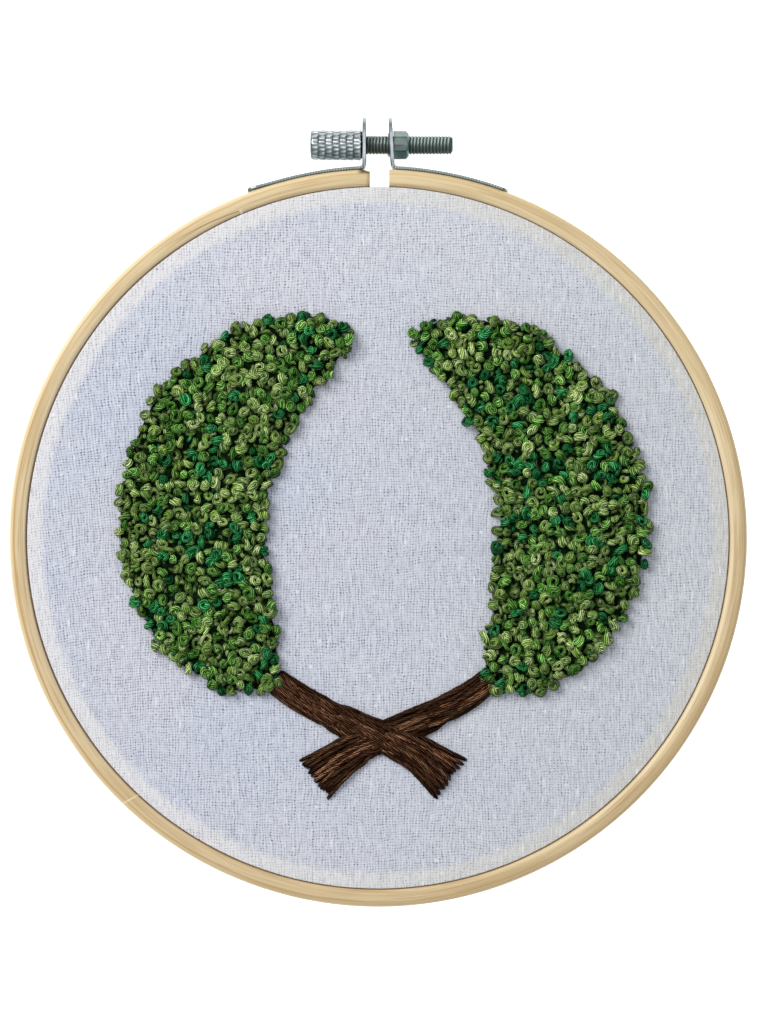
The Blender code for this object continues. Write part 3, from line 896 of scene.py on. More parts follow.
def strip_section(side, x, y, nx, ny, width, thick):
    """Eight corners across the strip, its four edges broken."""
    section = []
    flat = width - min(EDGE_BREAK, width / 2)
    thin = thick / 2 - EDGE_BREAK
    for out, up in (
        (thin, -width), (thick / 2, -flat), (thick / 2, flat), (thin, width),
        (-thin, width), (-thick / 2, flat), (-thick / 2, -flat), (-thin, -width),
    ):
        section.append((side * (x + nx * out), y + ny * out, SCREW_Z + up))
    return section


print(f"{len(strip_stations(-1))} sections along the left strip, {len(strip_stations(1))} along the right")


# %% Cut the holes and set the lip
LIP_RADIUS, LIP_LENGTH = 2.75 * MM, 0.4 * MM
HELPER_SIDES = 48


def turned(rows, sides, radius_at=None):
    """A closed skin round the screw's axis: rows of (x, radius), radius_at shapes each one."""
    sections = []
    for x, radius in rows:
        section = []
        for k in range(sides):
            angle = 2 * pi * k / sides
            here = radius_at(x, radius, angle) if radius_at else radius
            section.append((x, here * sin(angle), here * cos(angle)))
        sections.append(section)
    return sections


def along_screw(rows):
    """A helper for a Boolean, turned round the screw's axis."""
    points, faces = loft(turned(rows, HELPER_SIDES))
    mesh = bpy.data.meshes.new("helper")
    mesh.from_pydata(points, [], faces)
    helper = bpy.data.objects.new("helper", mesh)
    helper.location = ON_SCREW
    bpy.context.scene.collection.objects.link(helper)
    return helper


def combine(piece, rows, operation):
    """Join a turned helper to a piece, or cut it away, and keep only the result."""
    helper = along_screw(rows)
    step = piece.modifiers.new("step", "BOOLEAN")
    step.operation = operation
    step.object = helper
    result = bpy.data.meshes.new_from_object(piece.evaluated_get(bpy.context.evaluated_depsgraph_get()))
    piece.modifiers.clear()
    piece.data = result
    bpy.data.objects.remove(helper)


def make_strip(name, side, node):
    sections = [strip_section(side, *station) for station in strip_stations(side)]
    strip = add_piece(name, *loft(sections), strip_steel, "steel", place=ON_HOOP)
    ear_x = EAR_LEFT if side < 0 else EAR_RIGHT
    if side > 0:
        face = EAR_RIGHT
        lip = [
            (face - LIP_LENGTH, SCREW_HOLE + 0.15 * MM),
            (face - LIP_LENGTH, LIP_RADIUS - 0.2 * MM),
            (face - LIP_LENGTH * 0.6, LIP_RADIUS),
            (face + STRIP / 2, LIP_RADIUS + 0.35 * MM),
            (face + STRIP / 2, SCREW_HOLE + 0.15 * MM),
        ]
        combine(strip, lip, "UNION")
    hole = [(ear_x - 3 * STRIP, SCREW_HOLE), (ear_x + 3 * STRIP, SCREW_HOLE)]
    combine(strip, hole, "DIFFERENCE")
    strip.data.shade_smooth()
    strip.data.set_sharp_from_angle(angle=radians(32))
    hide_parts(node)
    tell(strip)


make_strip("strip_left", -1, "bracket_left")
make_strip("strip_right", 1, "bracket_right")

# %% [markdown]
# ## The thumb screw
#
# The screw is turned from one rod: a knurled head, a neck hidden by the ear, and a
# threaded shank with a chamfered tip. A skin round its axis takes any radius at any
# place, so the knurl and the thread are two formulas for that radius. The knurl is seven
# rows of 22 scales, each rising towards the ear and staggered against its neighbours. A
# thin collar fills the space between the head and the ear.

# %% The turned screw
HEAD_START, HEAD_END = -15.3 * MM, EAR_LEFT - STRIP - 0.3 * MM
HEAD_RADIUS = 3.48 * MM
HEAD_DOME = 0.60 * MM                           # how far the outer end bulges
COLLAR_RADIUS, COLLAR_END = 3.05 * MM, HEAD_END + 0.26 * MM
KNURL_ROWS, KNURL_SCALES = 7, 22
KNURL_DEPTH = 0.25 * MM
KNURL_START, KNURL_END = HEAD_START + 0.34 * MM, HEAD_END - 0.12 * MM
KNURL_ROW = (KNURL_END - KNURL_START) / KNURL_ROWS
SCREW_RADIUS, SCREW_TIP = 2.12 * MM, 16.75 * MM
THREAD_PITCH, THREAD_DEPTH = 0.75 * MM, 0.24 * MM
TIP_CHAMFER = 0.5 * MM
SIDES = 5 * KNURL_SCALES
DOME_STEPS, STEPS_PER_ROW, STEPS_PER_THREAD = 7, 8, 7


def knurl(x, radius, angle):
    """The radius of the head: a scale's round back, highest near its end."""
    along = (x - KNURL_START) / KNURL_ROW
    if not 0.0 <= along < KNURL_ROWS:
        return radius
    row, part = int(along), along % 1
    back = abs(cos(KNURL_SCALES / 2 * angle + (pi / 2 if row % 2 else 0.0)))
    climb = part ** 0.6 * min(1.0, (1 - part) / 0.12)
    return radius - KNURL_DEPTH * (1 - back ** 0.9 * climb)


def thread(x, radius, angle):
    """The radius of the shank: a helix of rounded ridges."""
    at = (x / THREAD_PITCH - angle / (2 * pi)) % 1
    return radius - THREAD_DEPTH * (0.5 - 0.5 * cos(2 * pi * at)) ** 0.8


def head_rows():
    """Rows of (x, radius) over the domed end, along the knurl and down to the collar."""
    rows = []
    for k in range(1, DOME_STEPS):
        turn = pi / 2 * k / DOME_STEPS
        rows.append((HEAD_START + HEAD_DOME * (1 - cos(turn)), HEAD_RADIUS * sin(turn)))
    begin = HEAD_START + HEAD_DOME
    count = ceil((KNURL_END - begin) / KNURL_ROW * STEPS_PER_ROW)
    rows += [(begin + (KNURL_END - begin) * k / count, HEAD_RADIUS) for k in range(count)]
    rows += [(KNURL_END, HEAD_RADIUS - 0.1 * MM), (HEAD_END, HEAD_RADIUS - 0.25 * MM)]
    rows += [(HEAD_END, COLLAR_RADIUS), (COLLAR_END, COLLAR_RADIUS)]
    return rows


def shank_rows():
    count = ceil((SCREW_TIP - COLLAR_END) / THREAD_PITCH * STEPS_PER_THREAD)
    rows = []
    for k in range(count + 1):
        x = COLLAR_END + (SCREW_TIP - COLLAR_END) * k / count
        rows.append((x, SCREW_RADIUS - max(0.0, x - SCREW_TIP + TIP_CHAMFER)))
    return rows


head = turned(head_rows(), SIDES, knurl)
shank = turned(shank_rows(), SIDES, thread)
screw = add_piece(
    "turned_screw", *loft(head + shank), screw_steel, "steel", "screw", place=ON_SCREW, sharp=55,
)
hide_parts("thumb_screw")
tell(screw)

# %% [markdown]
# ## The nut
#
# The nut sits against the right ear, one of its six flats facing the front. Its outer face
# is turned to a cone, which rounds the corners off. So each point of a section lies at the
# smaller of two distances: the flat and the cone.

# %% The nut
nut_low, nut_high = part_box("screw_nut")
NUT_START, NUT_END = EAR_RIGHT + STRIP + 0.03 * MM, nut_high.x
NUT_CORNER = (nut_high.y - nut_low.y) / 2
NUT_FLAT = NUT_CORNER * cos(pi / 6)
NUT_FACE, NUT_SLOPE = 2.5 * MM, 1.05            # radius of the turned face, and its cone
NUT_SIDES = 96
CONE_STEPS, CONE_LENGTH = 12, 0.72 * MM


def nut_radius(x, drawn_in, angle):
    flat = (NUT_FLAT - drawn_in) / cos((angle + pi / 6) % (pi / 3) - pi / 6)
    cone = NUT_FACE + (NUT_END - x) * NUT_SLOPE - drawn_in
    return min(flat, cone, NUT_CORNER - 0.04 * MM)


rows = [(NUT_START, 0.10 * MM), (NUT_START + 0.10 * MM, 0.0)]
rows += [(NUT_END - CONE_LENGTH * (1 - k / CONE_STEPS), 0.0) for k in range(CONE_STEPS)]
rows.append((NUT_END, 0.05 * MM))
outside = turned(rows, NUT_SIDES, nut_radius)
NUT_BORE = SCREW_HOLE - 0.1 * MM
bore = turned([(NUT_END - 0.15 * MM, NUT_BORE), (NUT_START, NUT_BORE)], NUT_SIDES)
nut = add_piece(
    "hex_nut", *loft(outside + bore, True), nut_steel, "steel", place=ON_SCREW, sharp=24,
)
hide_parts("screw_nut")
tell(nut)

# %% [markdown]
# ## Stranded thread
#
# Embroidery thread is a few fine strands laid side by side with a slow twist. At this
# scale each stitch is a slightly uneven tube that turns slowly along its path, and the
# finish draws the strands on it, with painted shade between them and painted highlights
# along their crests. Winding it takes a frame that turns as little as it can.
# Each point also keeps the place that it had on the straight thread, so that strands and
# fibres follow every turn, and two dye numbers that make each stitch a little different.

# %% A mesh of many threads at once
STRANDS = 6
SIDES_PER_THREAD = 8
VALLEY = 0.90                                   # every second corner lies a little lower


def unit(vectors):
    return vectors / np.linalg.norm(vectors, axis=-1, keepdims=True)


def thread_points(paths, radii, twists, sides):
    """paths (threads, stations, 3) to surface points (threads, stations, sides, 3)."""
    steps = np.diff(paths, axis=1, prepend=paths[:, :1])
    distance = np.cumsum(np.linalg.norm(steps, axis=2), axis=1)
    along = unit(np.gradient(paths, axis=1))
    side = np.empty_like(paths)
    guess = np.tile([0.31, 0.17, 0.93], (len(paths), 1))
    for i in range(paths.shape[1]):
        flat = along[:, i]
        guess = unit(guess - flat * np.sum(guess * flat, axis=1, keepdims=True))
        side[:, i] = guess
    up = np.cross(along, side)
    lobes = np.where(np.arange(sides) % 2, VALLEY, 1.0)
    round_it = 2 * pi * np.arange(sides) / sides
    angle = round_it + (distance * twists[:, None])[:, :, None]
    taper = np.ones(paths.shape[1])
    taper[[0, -1]] = 0.55
    taper[[1, -2]] = 0.9
    reach = radii[:, None, None] * taper[None, :, None] * lobes
    ring = side[:, :, None] * np.cos(angle)[..., None] + up[:, :, None] * np.sin(angle)[..., None]
    points = paths[:, :, None] + ring * reach[..., None]
    straight = np.empty_like(points)
    straight[..., 0] = radii[:, None, None] * np.cos(round_it) / MM
    straight[..., 1] = radii[:, None, None] * np.sin(round_it) / MM
    straight[..., 2] = distance[:, :, None] / MM
    return points, straight


def thread_faces(threads, stations, sides):
    """Faces of that many tubes, with both ends closed."""
    j = np.arange(sides)
    one = []
    for i in range(stations - 1):
        here, there = i * sides, (i + 1) * sides
        one += np.stack([here + j, here + (j + 1) % sides, there + (j + 1) % sides, there + j], 1).tolist()
    one += [j[::-1].tolist(), (j + (stations - 1) * sides).tolist()]
    size = stations * sides
    return [[corner + k * size for corner in face] for k in range(threads) for face in one]


print(f"a thread has {STRANDS} strands and {SIDES_PER_THREAD} sides")


# %% One piece of many threads
def add_threads(name, threads, finish, slot, sides=SIDES_PER_THREAD):
    """One piece of many threads, each a path, a radius, a twist and two dye numbers, 0 to 1."""
    paths, radii, twists, dyes = [np.asarray(values) for values in zip(*threads)]
    points, straight = thread_points(paths, radii, twists, sides)
    count, stations = paths.shape[:2]
    piece = add_piece(name, points.reshape(-1, 3), thread_faces(count, stations, sides), finish, slot)
    kept = piece.data.attributes.new("straight", "FLOAT_VECTOR", "POINT")
    kept.data.foreach_set("vector", straight.ravel().astype(np.float32))
    each = np.repeat(dyes.astype(np.float32), stations * sides, axis=0)
    for column, attribute in enumerate(("dye_shade", "dye_tone")):
        kept = piece.data.attributes.new(attribute, "FLOAT", "POINT")
        kept.data.foreach_set("value", np.ascontiguousarray(each[:, column]))
    tell(piece)
    return piece


print("a piece of threads keeps three attributes: straight, dye_shade and dye_tone")


# %% Thread finish
# from the first height to the second a thread goes from painted shade to none
KNOT_SHADE_HEIGHTS = STITCH_BASE / MM + 0.5, STITCH_BASE / MM + 2.7
STEM_SHADE_HEIGHTS = STITCH_BASE / MM + 0.4, STITCH_BASE / MM + 2.3
# the painted shade between strands and on sunken threads, two shades of the dye, the painted highlight on the
# crests, and the shine's tint
DYES = {
    "light_green": ((0, 42, 0), (64, 154, 0), (144, 206, 40), (252, 255, 196), (0.80, 1.0, 0.40, 1.0)),
    "mid_green": ((0, 38, 0), (10, 114, 4), (58, 152, 26), (204, 252, 146), (0.50, 1.0, 0.30, 1.0)),
    "dark_green": ((0, 20, 6), (0, 88, 36), (2, 114, 48), (104, 214, 132), (0.20, 1.0, 0.45, 1.0)),
    "brown": ((6, 0, 0), (84, 7, 0), (104, 58, 24), (216, 164, 126), (1.0, 0.50, 0.28, 1.0)),
}


def attribute(start, name, output):
    return start.add("Attribute", {"attribute_name": name}, output=output)


def make_thread(dye, shine=0.3, heights=KNOT_SHADE_HEIGHTS, least=0.44):
    """Dyed mercerised cotton, with painted shade between the strands and a painted highlight along their
    crests.

    heights are where a sunken thread gets painted shade and a high one none. least is how
    much of its colour the darkest stitch keeps, from 0 to 1.
    """
    painted_shade_colour, plain, other, painted_sheen_colour, tint = DYES[dye]
    finish, start = start_finish("thread_" + dye, IOR=1.5, Specular_Tint=tint, Specular_IOR_Level=shine)
    px, py, pz = split(attribute(start, "straight", 1))
    shade = attribute(start, "dye_shade", 2)
    tone = attribute(start, "dye_tone", 2)
    x, y, z = place_in_mm(start)
    uneven = noise(vector(px * 1.4, py * 1.4, pz * 0.9 + tone * 30.0), 1.0)
    crest = (py.math("ARCTAN2", px) * STRANDS + uneven * 6.0).math("COSINE") * 0.5 + 0.5
    fibre = noise(vector(px * 9.0, py * 9.0, pz * 0.9))
    wear = noise(vector(px * 2.0, py * 2.0, pz * 0.5 + shade * 40.0), 1.0)
    strand = noise(vector(px * 1.8, py * 1.8, tone * 60.0), 1.0)
    painted_sheen = smooth(fibre * 0.5 + wear * 0.7 + crest * 0.35, 0.69, 1.00)
    # painted shade for threads low in the heap, kept off the floats behind the cloth
    behind_cloth = smooth(z, CLOTH_TOP / MM - 0.5, CLOTH_TOP / MM - 0.9)
    painted_light_share = smooth(z, *heights).math("MAXIMUM", behind_cloth * 0.9)
    # the crests get a painted highlight
    colour = paint(
        plain,
        (other, tone * 0.7 + smooth(strand, 0.35, 0.65) * 0.3),
        (painted_sheen_colour, painted_sheen * (shade * 0.4 + 0.58)),
    )
    # painted shade between the strands, then on low threads
    colour = mix_colour(painted_shade_colour, colour, smooth(crest, -0.28, 0.78) * (shade * (0.98 - least) + least))
    colour = mix_colour(painted_shade_colour, colour, painted_light_share * 0.88 + 0.12)
    end_finish(finish, colour, 0.42 - fibre * 0.20, crest * 0.8 + fibre * 0.4, 0.10 * MM, 0.9)
    return finish


GREENS = {word: make_thread(word + "_green") for word in ("light", "mid", "dark")}
brown = make_thread("brown", 0.1, STEM_SHADE_HEIGHTS, 0.24)
print("threads:", [finish.name for finish in (*GREENS.values(), brown)])

# %% [markdown]
# ## The wreath's two branches
#
# The embroidered picture is a plain wreath of this lesson's own: two branches that curve
# up from crossed stems and leave a gap at the top. A branch is a strip round a circle
# whose half width is read from a short table, from its stem end to its tip. The knots are
# scattered over that strip, and a dark underlayer closes the ground between them.

# %% The shape of a branch
WREATH_X, WREATH_Y = 1.0 * MM, HOOP_Y + 3.0 * MM
BRANCH_RADIUS = 42.5 * MM
# degrees up from the bottom, half width
BRANCH_SHAPE = [
    (36.0, 3.5 * MM),
    (46.0, 9.5 * MM),
    (62.0, 14.2 * MM),
    (88.0, 16.2 * MM),
    (115.0, 15.6 * MM),
    (140.0, 12.2 * MM),
    (158.0, 7.6 * MM),
    (168.0, 3.2 * MM),
]


def half_width(turn):
    for (turn0, width0), (turn1, width1) in zip(BRANCH_SHAPE, BRANCH_SHAPE[1:]):
        if turn <= turn1:
            share = max(0.0, (turn - turn0) / (turn1 - turn0))
            return width0 + (width1 - width0) * share * share * (3 - 2 * share)
    return BRANCH_SHAPE[-1][1]


def branch_place(side, turn, across):
    """A point of a branch. side is -1 for the left one, across from -1 to 1."""
    radius = BRANCH_RADIUS + half_width(turn) * across
    return WREATH_X + side * radius * sin(radians(turn)), WREATH_Y - radius * cos(radians(turn))


for turn, width in BRANCH_SHAPE:
    print(f"at {turn:.0f} degrees a branch is {2 * width / MM:.1f} mm wide")

# %% The underlayer
PAD_ROWS, PAD_COLUMNS = 84, 21
PAD_HEIGHT, PAD_RIM = 0.9 * MM, 0.3 * MM
PAD_SHARE = 0.99                                # of the branch's width
PAD_SUNK, PAD_LUMP, PAD_SEED = 0.2 * MM, 0.2 * MM, 31


# The underlayer is dark thread and painted shade in one: it stands for the deep shade between the knots.
def make_pad_shade_finish():
    finish, start = start_finish("underlayer_of_thread_and_shade", Specular_IOR_Level=0.1)
    x, y, z = place_in_mm(start)
    clump = noise(vector(x * 0.9, y * 0.9, z * 0.9), 3.0)
    fibre = noise(vector(x * 4.0, y * 4.0, z * 4.0), 3.0)
    colour = paint(
        (2, 16, 8),
        ((12, 40, 14), smooth(clump, 0.4, 0.65)),
        ((44, 72, 28), smooth(fibre, 0.55, 0.75) * 0.4),
    )
    end_finish(finish, colour, fibre * 0.2 + 0.7, clump + fibre * 0.6, 0.35 * MM, 0.9)
    return finish


def make_pad(name, side, finish, node):
    """A low uneven cushion, one section across the branch after the other."""
    lumps = Random(PAD_SEED + side)
    first, last = BRANCH_SHAPE[0][0], BRANCH_SHAPE[-1][0]
    sections = []
    for i in range(PAD_ROWS):
        turn = first + (last - first) * i / (PAD_ROWS - 1)
        ends = min(1.0, 6 * i / PAD_ROWS, 6 * (PAD_ROWS - 1 - i) / PAD_ROWS)
        top, base = [], []
        for j in range(PAD_COLUMNS):
            across = 2 * j / (PAD_COLUMNS - 1) - 1
            x, y = branch_place(side, turn, across * PAD_SHARE)
            crown = (PAD_HEIGHT - PAD_RIM) * (1 - across ** 4) * ends
            top.append((x, y, STITCH_BASE + PAD_RIM + crown + PAD_LUMP * lumps.uniform(-1, 1)))
            base.append((x, y, STITCH_BASE - PAD_SUNK))
        sections.append(top + base[::-1])
    pad = add_piece(name, *loft(sections), finish, "leaf_thread")
    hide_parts(node)
    tell(pad)
    return pad


pad_shade_finish = make_pad_shade_finish()
pads = [
    make_pad("underlayer_left", -1, pad_shade_finish, "foliage_left"),
    make_pad("underlayer_right", 1, pad_shade_finish, "foliage_right"),
]

# %% [markdown]
# ## French knots
#
# A French knot is thread wound once or twice round the needle and drawn down beside
# itself. From above it is a small ring with a dark eye, which the end of the thread tucks
# into or crosses. Many knots lean, and some lie on their side. So each knot is one path:
# a rising coil that closes in at its end, leaned over by chance and set down on the pad.
# Between the knots, slack loops of thread show lower down and hide the ground.

# %% The path of one knot
COIL_STATIONS, LEAD_STATIONS = 24, 3
WRAPS = 1.05, 2.05                              # turns round the needle, fewest and most
COIL_REACH, COIL_CLIMB = (0.72, 1.20), (0.36, 0.70)  # millimetres, the climb for each turn
TUCK_START = 0.82                               # share of the coil that is wound
ROOT = 0.5 * MM                                 # how deep the threads' ends sit, below their base
WOBBLE = 0.17 * MM


def wobble(stations, dice):
    """A slow uneven drift in all three directions, for a path of that many points."""
    t = np.linspace(0.0, 1.0, stations)
    waves = [np.sin(t * dice.uniform(5, 11) + dice.uniform(0, 2 * pi)) for axis in range(3)]
    return np.stack(waves, 1) * WOBBLE


def coil_path(dice):
    """The middle line of one knot's wound thread, round the origin."""
    wraps = dice.uniform(*WRAPS)
    reach = dice.uniform(*COIL_REACH) * MM
    climb = dice.uniform(*COIL_CLIMB) * MM
    t = np.linspace(0.0, 1.0, COIL_STATIONS)
    wound = np.minimum(t / TUCK_START, 1.0)
    tuck = np.clip((t - TUCK_START) / (1 - TUCK_START), 0.0, 1.0)
    tuck = tuck * tuck * (3 - 2 * tuck)
    angle = dice.uniform(0, 2 * pi) + dice.choice((-1, 1)) * (2 * pi * wraps * wound + 0.6 * tuck)
    inward = 1 - tuck * dice.choice((0.85, 0.85, 1.8))
    oval = 0.11 * np.sin(2 * angle + dice.uniform(0, 6)) + 0.07 * np.sin(3 * angle + dice.uniform(0, 6))
    spread = reach * inward * (1 + oval) * (1 - 0.14 * wound)
    z = climb * wraps * wound + (0.45 * np.sin(pi * tuck) - 0.9 * tuck ** 3) * MM
    path = np.stack([spread * np.cos(angle), spread * np.sin(angle), z], 1)
    slip = np.array([dice.gauss(0, 0.24), dice.gauss(0, 0.24), 0.0]) * MM
    path += np.outer(wound, slip) + wobble(COIL_STATIONS, dice)
    squeeze, heading = dice.uniform(0.64, 1.0), dice.uniform(0, pi)
    long_way = np.array([cos(heading), sin(heading), 0.0])
    return path - np.outer(path @ long_way, long_way) * (1 - squeeze)


def lean(path, degrees_over, heading):
    """Tip a path over about a level line."""
    turn = Matrix.Rotation(radians(degrees_over), 3, Vector((cos(heading), sin(heading), 0.0)))
    return path @ np.array(turn).T


def with_lead(path, ground, dice):
    """Put the short run before the coil, where the thread comes up out of the cloth."""
    first = path[0]
    back = unit((first - path[1]) * (1, 1, 0.2))
    foot = first + back * dice.uniform(0.3, 0.8) * MM
    foot[2] = ground
    bend = first + back * 0.4 * MM
    s = np.linspace(1.0, 0.0, LEAD_STATIONS, endpoint=False)[:, None]
    lead = (1 - s) ** 2 * first + 2 * s * (1 - s) * bend + s ** 2 * foot
    return np.vstack([lead, path])


print(f"a knot's path has {LEAD_STATIONS + COIL_STATIONS} points")


# %% The path of one loop
LOOP_STATIONS = 11


def loop_path(dice):
    """A slack arc of thread between two knots, round the origin, both of its ends sunk."""
    t = np.linspace(0.0, 1.0, LOOP_STATIONS)
    angle = dice.uniform(0, 2 * pi) + dice.uniform(2.4, 5.2) * t
    reach = dice.uniform(0.45, 0.85) * MM * (1 + dice.uniform(-0.25, 0.25) * t)
    rise = dice.uniform(0.7, 1.5) * MM
    z = (rise + ROOT) * np.sin(pi * t) ** 0.6 - ROOT
    path = np.stack([reach * np.cos(angle), reach * np.sin(angle), z], 1)
    return path + wobble(LOOP_STATIONS, dice)


print(f"a loop's path has {LOOP_STATIONS} points")

# %% Places for the knots
MISSES = 2500                                   # tries without success before a branch is full
TIP_REACH = 2.6                                 # degrees that knots stand past a branch's end


def scatter(dice, side, spacing, taken, widest):
    """Places (x, y, across) over a branch, none nearer to each other or those taken."""
    places = np.array(taken)
    misses = 0
    first, last = BRANCH_SHAPE[0][0], BRANCH_SHAPE[-1][0]
    while misses < MISSES:
        across = dice.uniform(-widest, widest)
        turn = dice.uniform(first - TIP_REACH, last + TIP_REACH)
        past = max(first - turn, turn - last, 0.0) / TIP_REACH
        x, y = branch_place(side, turn, across)
        crowded = len(places) and np.min(np.hypot(places[:, 0] - x, places[:, 1] - y)) < spacing
        if past ** 2 + across ** 2 > widest ** 2 or crowded:
            misses += 1
            continue
        places = np.vstack([places, (x, y, across)])
        misses = 0
    return places[len(taken):]


print(f"a branch is full after {MISSES} tries without success")

# %% One knot and one loop, set down
KNOT_LIFT = 1.1 * MM
KNOT_THREAD, LOOP_THREAD = (0.43, 0.61), (0.38, 0.50)  # radii in millimetres
DARK_IN_PATCH, DARK_ELSEWHERE, MID_SHARE = 0.58, 0.09, 0.29


def choose_lean(dice):
    """Degrees that a knot is leaned over: upright, leaning or nearly on its side."""
    kind = dice.random()
    if kind < 0.32:
        return dice.gauss(0, 14)
    if kind < 0.72:
        return dice.uniform(20, 50)
    return dice.uniform(55, 88)


def choose_colour(dice, near_patch):
    if dice.random() < (DARK_IN_PATCH if near_patch else DARK_ELSEWHERE):
        return "dark"
    return "mid" if dice.random() < MID_SHARE else "light"


def make_knot(dice, x, y, heap):
    """One thread of a knot, set down on the branch at the height of the heap there."""
    radius = dice.uniform(*KNOT_THREAD) * MM
    path = lean(coil_path(dice), choose_lean(dice), dice.uniform(0, 2 * pi))
    path[:, 2] += radius * 0.8 - path[:, 2].min() + heap
    path = with_lead(path, -ROOT, dice) + (x, y, STITCH_BASE)
    return path, radius, dice.uniform(0.4, 1.5) / MM, (dice.random(), dice.random())


def make_loop(dice, x, y):
    path = loop_path(dice) + (x, y, STITCH_BASE)
    radius, twist = dice.uniform(*LOOP_THREAD) * MM, dice.uniform(0.3, 0.9) / MM
    return path, radius, twist, (dice.random(), dice.random())


print(f"a knot's thread is {2 * KNOT_THREAD[0]:.2f} to {2 * KNOT_THREAD[1]:.2f} mm thick")

# %% Two branches of knots
KNOT_SPACING = 1.95 * MM
LOOP_SPACING = 1.26 * MM                        # from a loop to the nearest knot or loop
KNOTS_OUT, LOOPS_OUT = 1.04, 0.98               # how far out they lie, in half widths
CLUSTERS, CLUSTER_REACH = 12, 3.6 * MM          # patches of dark knots on a branch
BRANCH_SEED = 41
knot_places = {}                                # what the back of the work needs to know


def make_branch(side, word):
    """The knots and loops of one branch, one piece for each colour."""
    dice = Random(BRANCH_SEED + side)
    knots_at = scatter(dice, side, KNOT_SPACING, np.empty((0, 3)), KNOTS_OUT)
    loops_at = scatter(dice, side, LOOP_SPACING, knots_at, LOOPS_OUT)
    patches = knots_at[[dice.randrange(len(knots_at)) for _ in range(CLUSTERS)], :2]

    def colour_at(x, y):
        off_patch = np.min(np.hypot(patches[:, 0] - x, patches[:, 1] - y))
        return choose_colour(dice, off_patch < CLUSTER_REACH)

    knots = {"light": [], "mid": [], "dark": []}
    loops = {"light": [], "dark": []}
    for x, y, across in knots_at:
        colour = colour_at(x, y)
        heap = KNOT_LIFT * max(0.0, 1 - abs(across) ** 3) * dice.uniform(0.0, 1.0)
        knots[colour].append(make_knot(dice, x, y, heap))
        knot_places.setdefault((word, colour), []).append((x, y))
    for x, y, across in loops_at:
        colour = "dark" if colour_at(x, y) == "dark" else "light"
        loops[colour].append(make_loop(dice, x, y))
    made = []
    for kind, groups in (("knots", knots), ("loops", loops)):
        for colour, threads in groups.items():
            made.append(add_threads(f"{kind}_{colour}_{word}", threads, GREENS[colour], "leaf_thread"))
    print(f"{word} branch: {len(knots_at)} knots and {len(loops_at)} loops")
    return made


knots = make_branch(-1, "left") + make_branch(1, "right")

# %% [markdown]
# ## The stems
#
# The stems are long stitches laid side by side and over each other along a curve. Their
# lanes close up where the stem narrows, so the threads ride up on each other there, and
# each stitch wanders a little. The left branch's stem lies over the other one.

# %% Long stitches
# from the wreath's middle: x, y, width of the left branch's stem, its cut end first
STEM_LINE = [
    (15.5 * MM, -57.0 * MM, 12.0 * MM),
    (8.0 * MM, -51.4 * MM, 8.6 * MM),
    (0.0 * MM, -47.4 * MM, 7.2 * MM),
    (-9.0 * MM, -43.6 * MM, 6.8 * MM),
    (-17.6 * MM, -39.2 * MM, 6.3 * MM),
    (-24.0 * MM, -34.6 * MM, 5.6 * MM),
]
# first share, last share, threads side by side
STEM_STRETCHES = [(0.0, 0.40, 15), (0.28, 0.72, 12), (0.60, 1.0, 10)]
STEM_STATIONS = 30
STEM_HEIGHT = 1.4 * MM
STEM_THREAD = 0.40, 0.54                        # radii in millimetres
LEFT_STEM_SEED, RIGHT_STEM_SEED = 51, 52


def smooth_line(at):
    """The stem's line at shares from 0 to 1, as x, y and width."""
    rows = np.array([STEM_LINE[0], *STEM_LINE, STEM_LINE[-1]])
    spans = len(STEM_LINE) - 1
    place = np.clip(at, 0.0, 1.0) * spans
    i = np.minimum(place.astype(int), spans - 1)
    t = (place - i)[:, None]
    a, b, c, d = rows[i], rows[i + 1], rows[i + 2], rows[i + 3]
    bent = (2 * a - 5 * b + 4 * c - d) * t ** 2 + (3 * b - a - 3 * c + d) * t ** 3
    return 0.5 * (2 * b + (c - a) * t + bent)


def stitch_path(dice, side, lane, start, end, height, sway):
    """One long stitch. lane is its share of the half width, start and end along the stem."""
    at = np.linspace(start, end, STEM_STATIONS)
    line = smooth_line(at)
    run = unit(np.gradient(line[:, :2], axis=0))
    wander = dice.uniform(0.4, 1.1) * np.sin(at * dice.uniform(12, 24) + dice.uniform(0, 6))
    drift = lane + dice.uniform(-sway, sway) * np.linspace(0, 1, STEM_STATIONS)
    off = np.clip(drift, -0.90, 0.90) * line[:, 2] / 2 + 0.20 * MM * wander
    from_ends = np.minimum(at - start if start > 0.1 else 1.0, end - at if end < 0.9 else 1.0)
    off = off * (0.72 + 0.28 * np.minimum(from_ends * 12, 1.0))
    x = line[:, 0] - run[:, 1] * off
    y = line[:, 1] + run[:, 0] * off
    ends = np.minimum(np.minimum(at - start, end - at) * 22, 1.0)
    crown = height * (1 - drift ** 2) * 0.62 + dice.uniform(-0.18, 0.18) * MM
    z = STITCH_BASE - 0.25 * MM + (0.5 * MM + crown) * ends ** 0.5
    z = z + 0.22 * MM * np.sin(at * dice.uniform(16, 32) + dice.uniform(0, 6))
    return np.stack([WREATH_X - side * x, WREATH_Y + y, z], 1)


print(f"{sum(count for first, last, count in STEM_STRETCHES)} long stitches in a stem's lower layer")


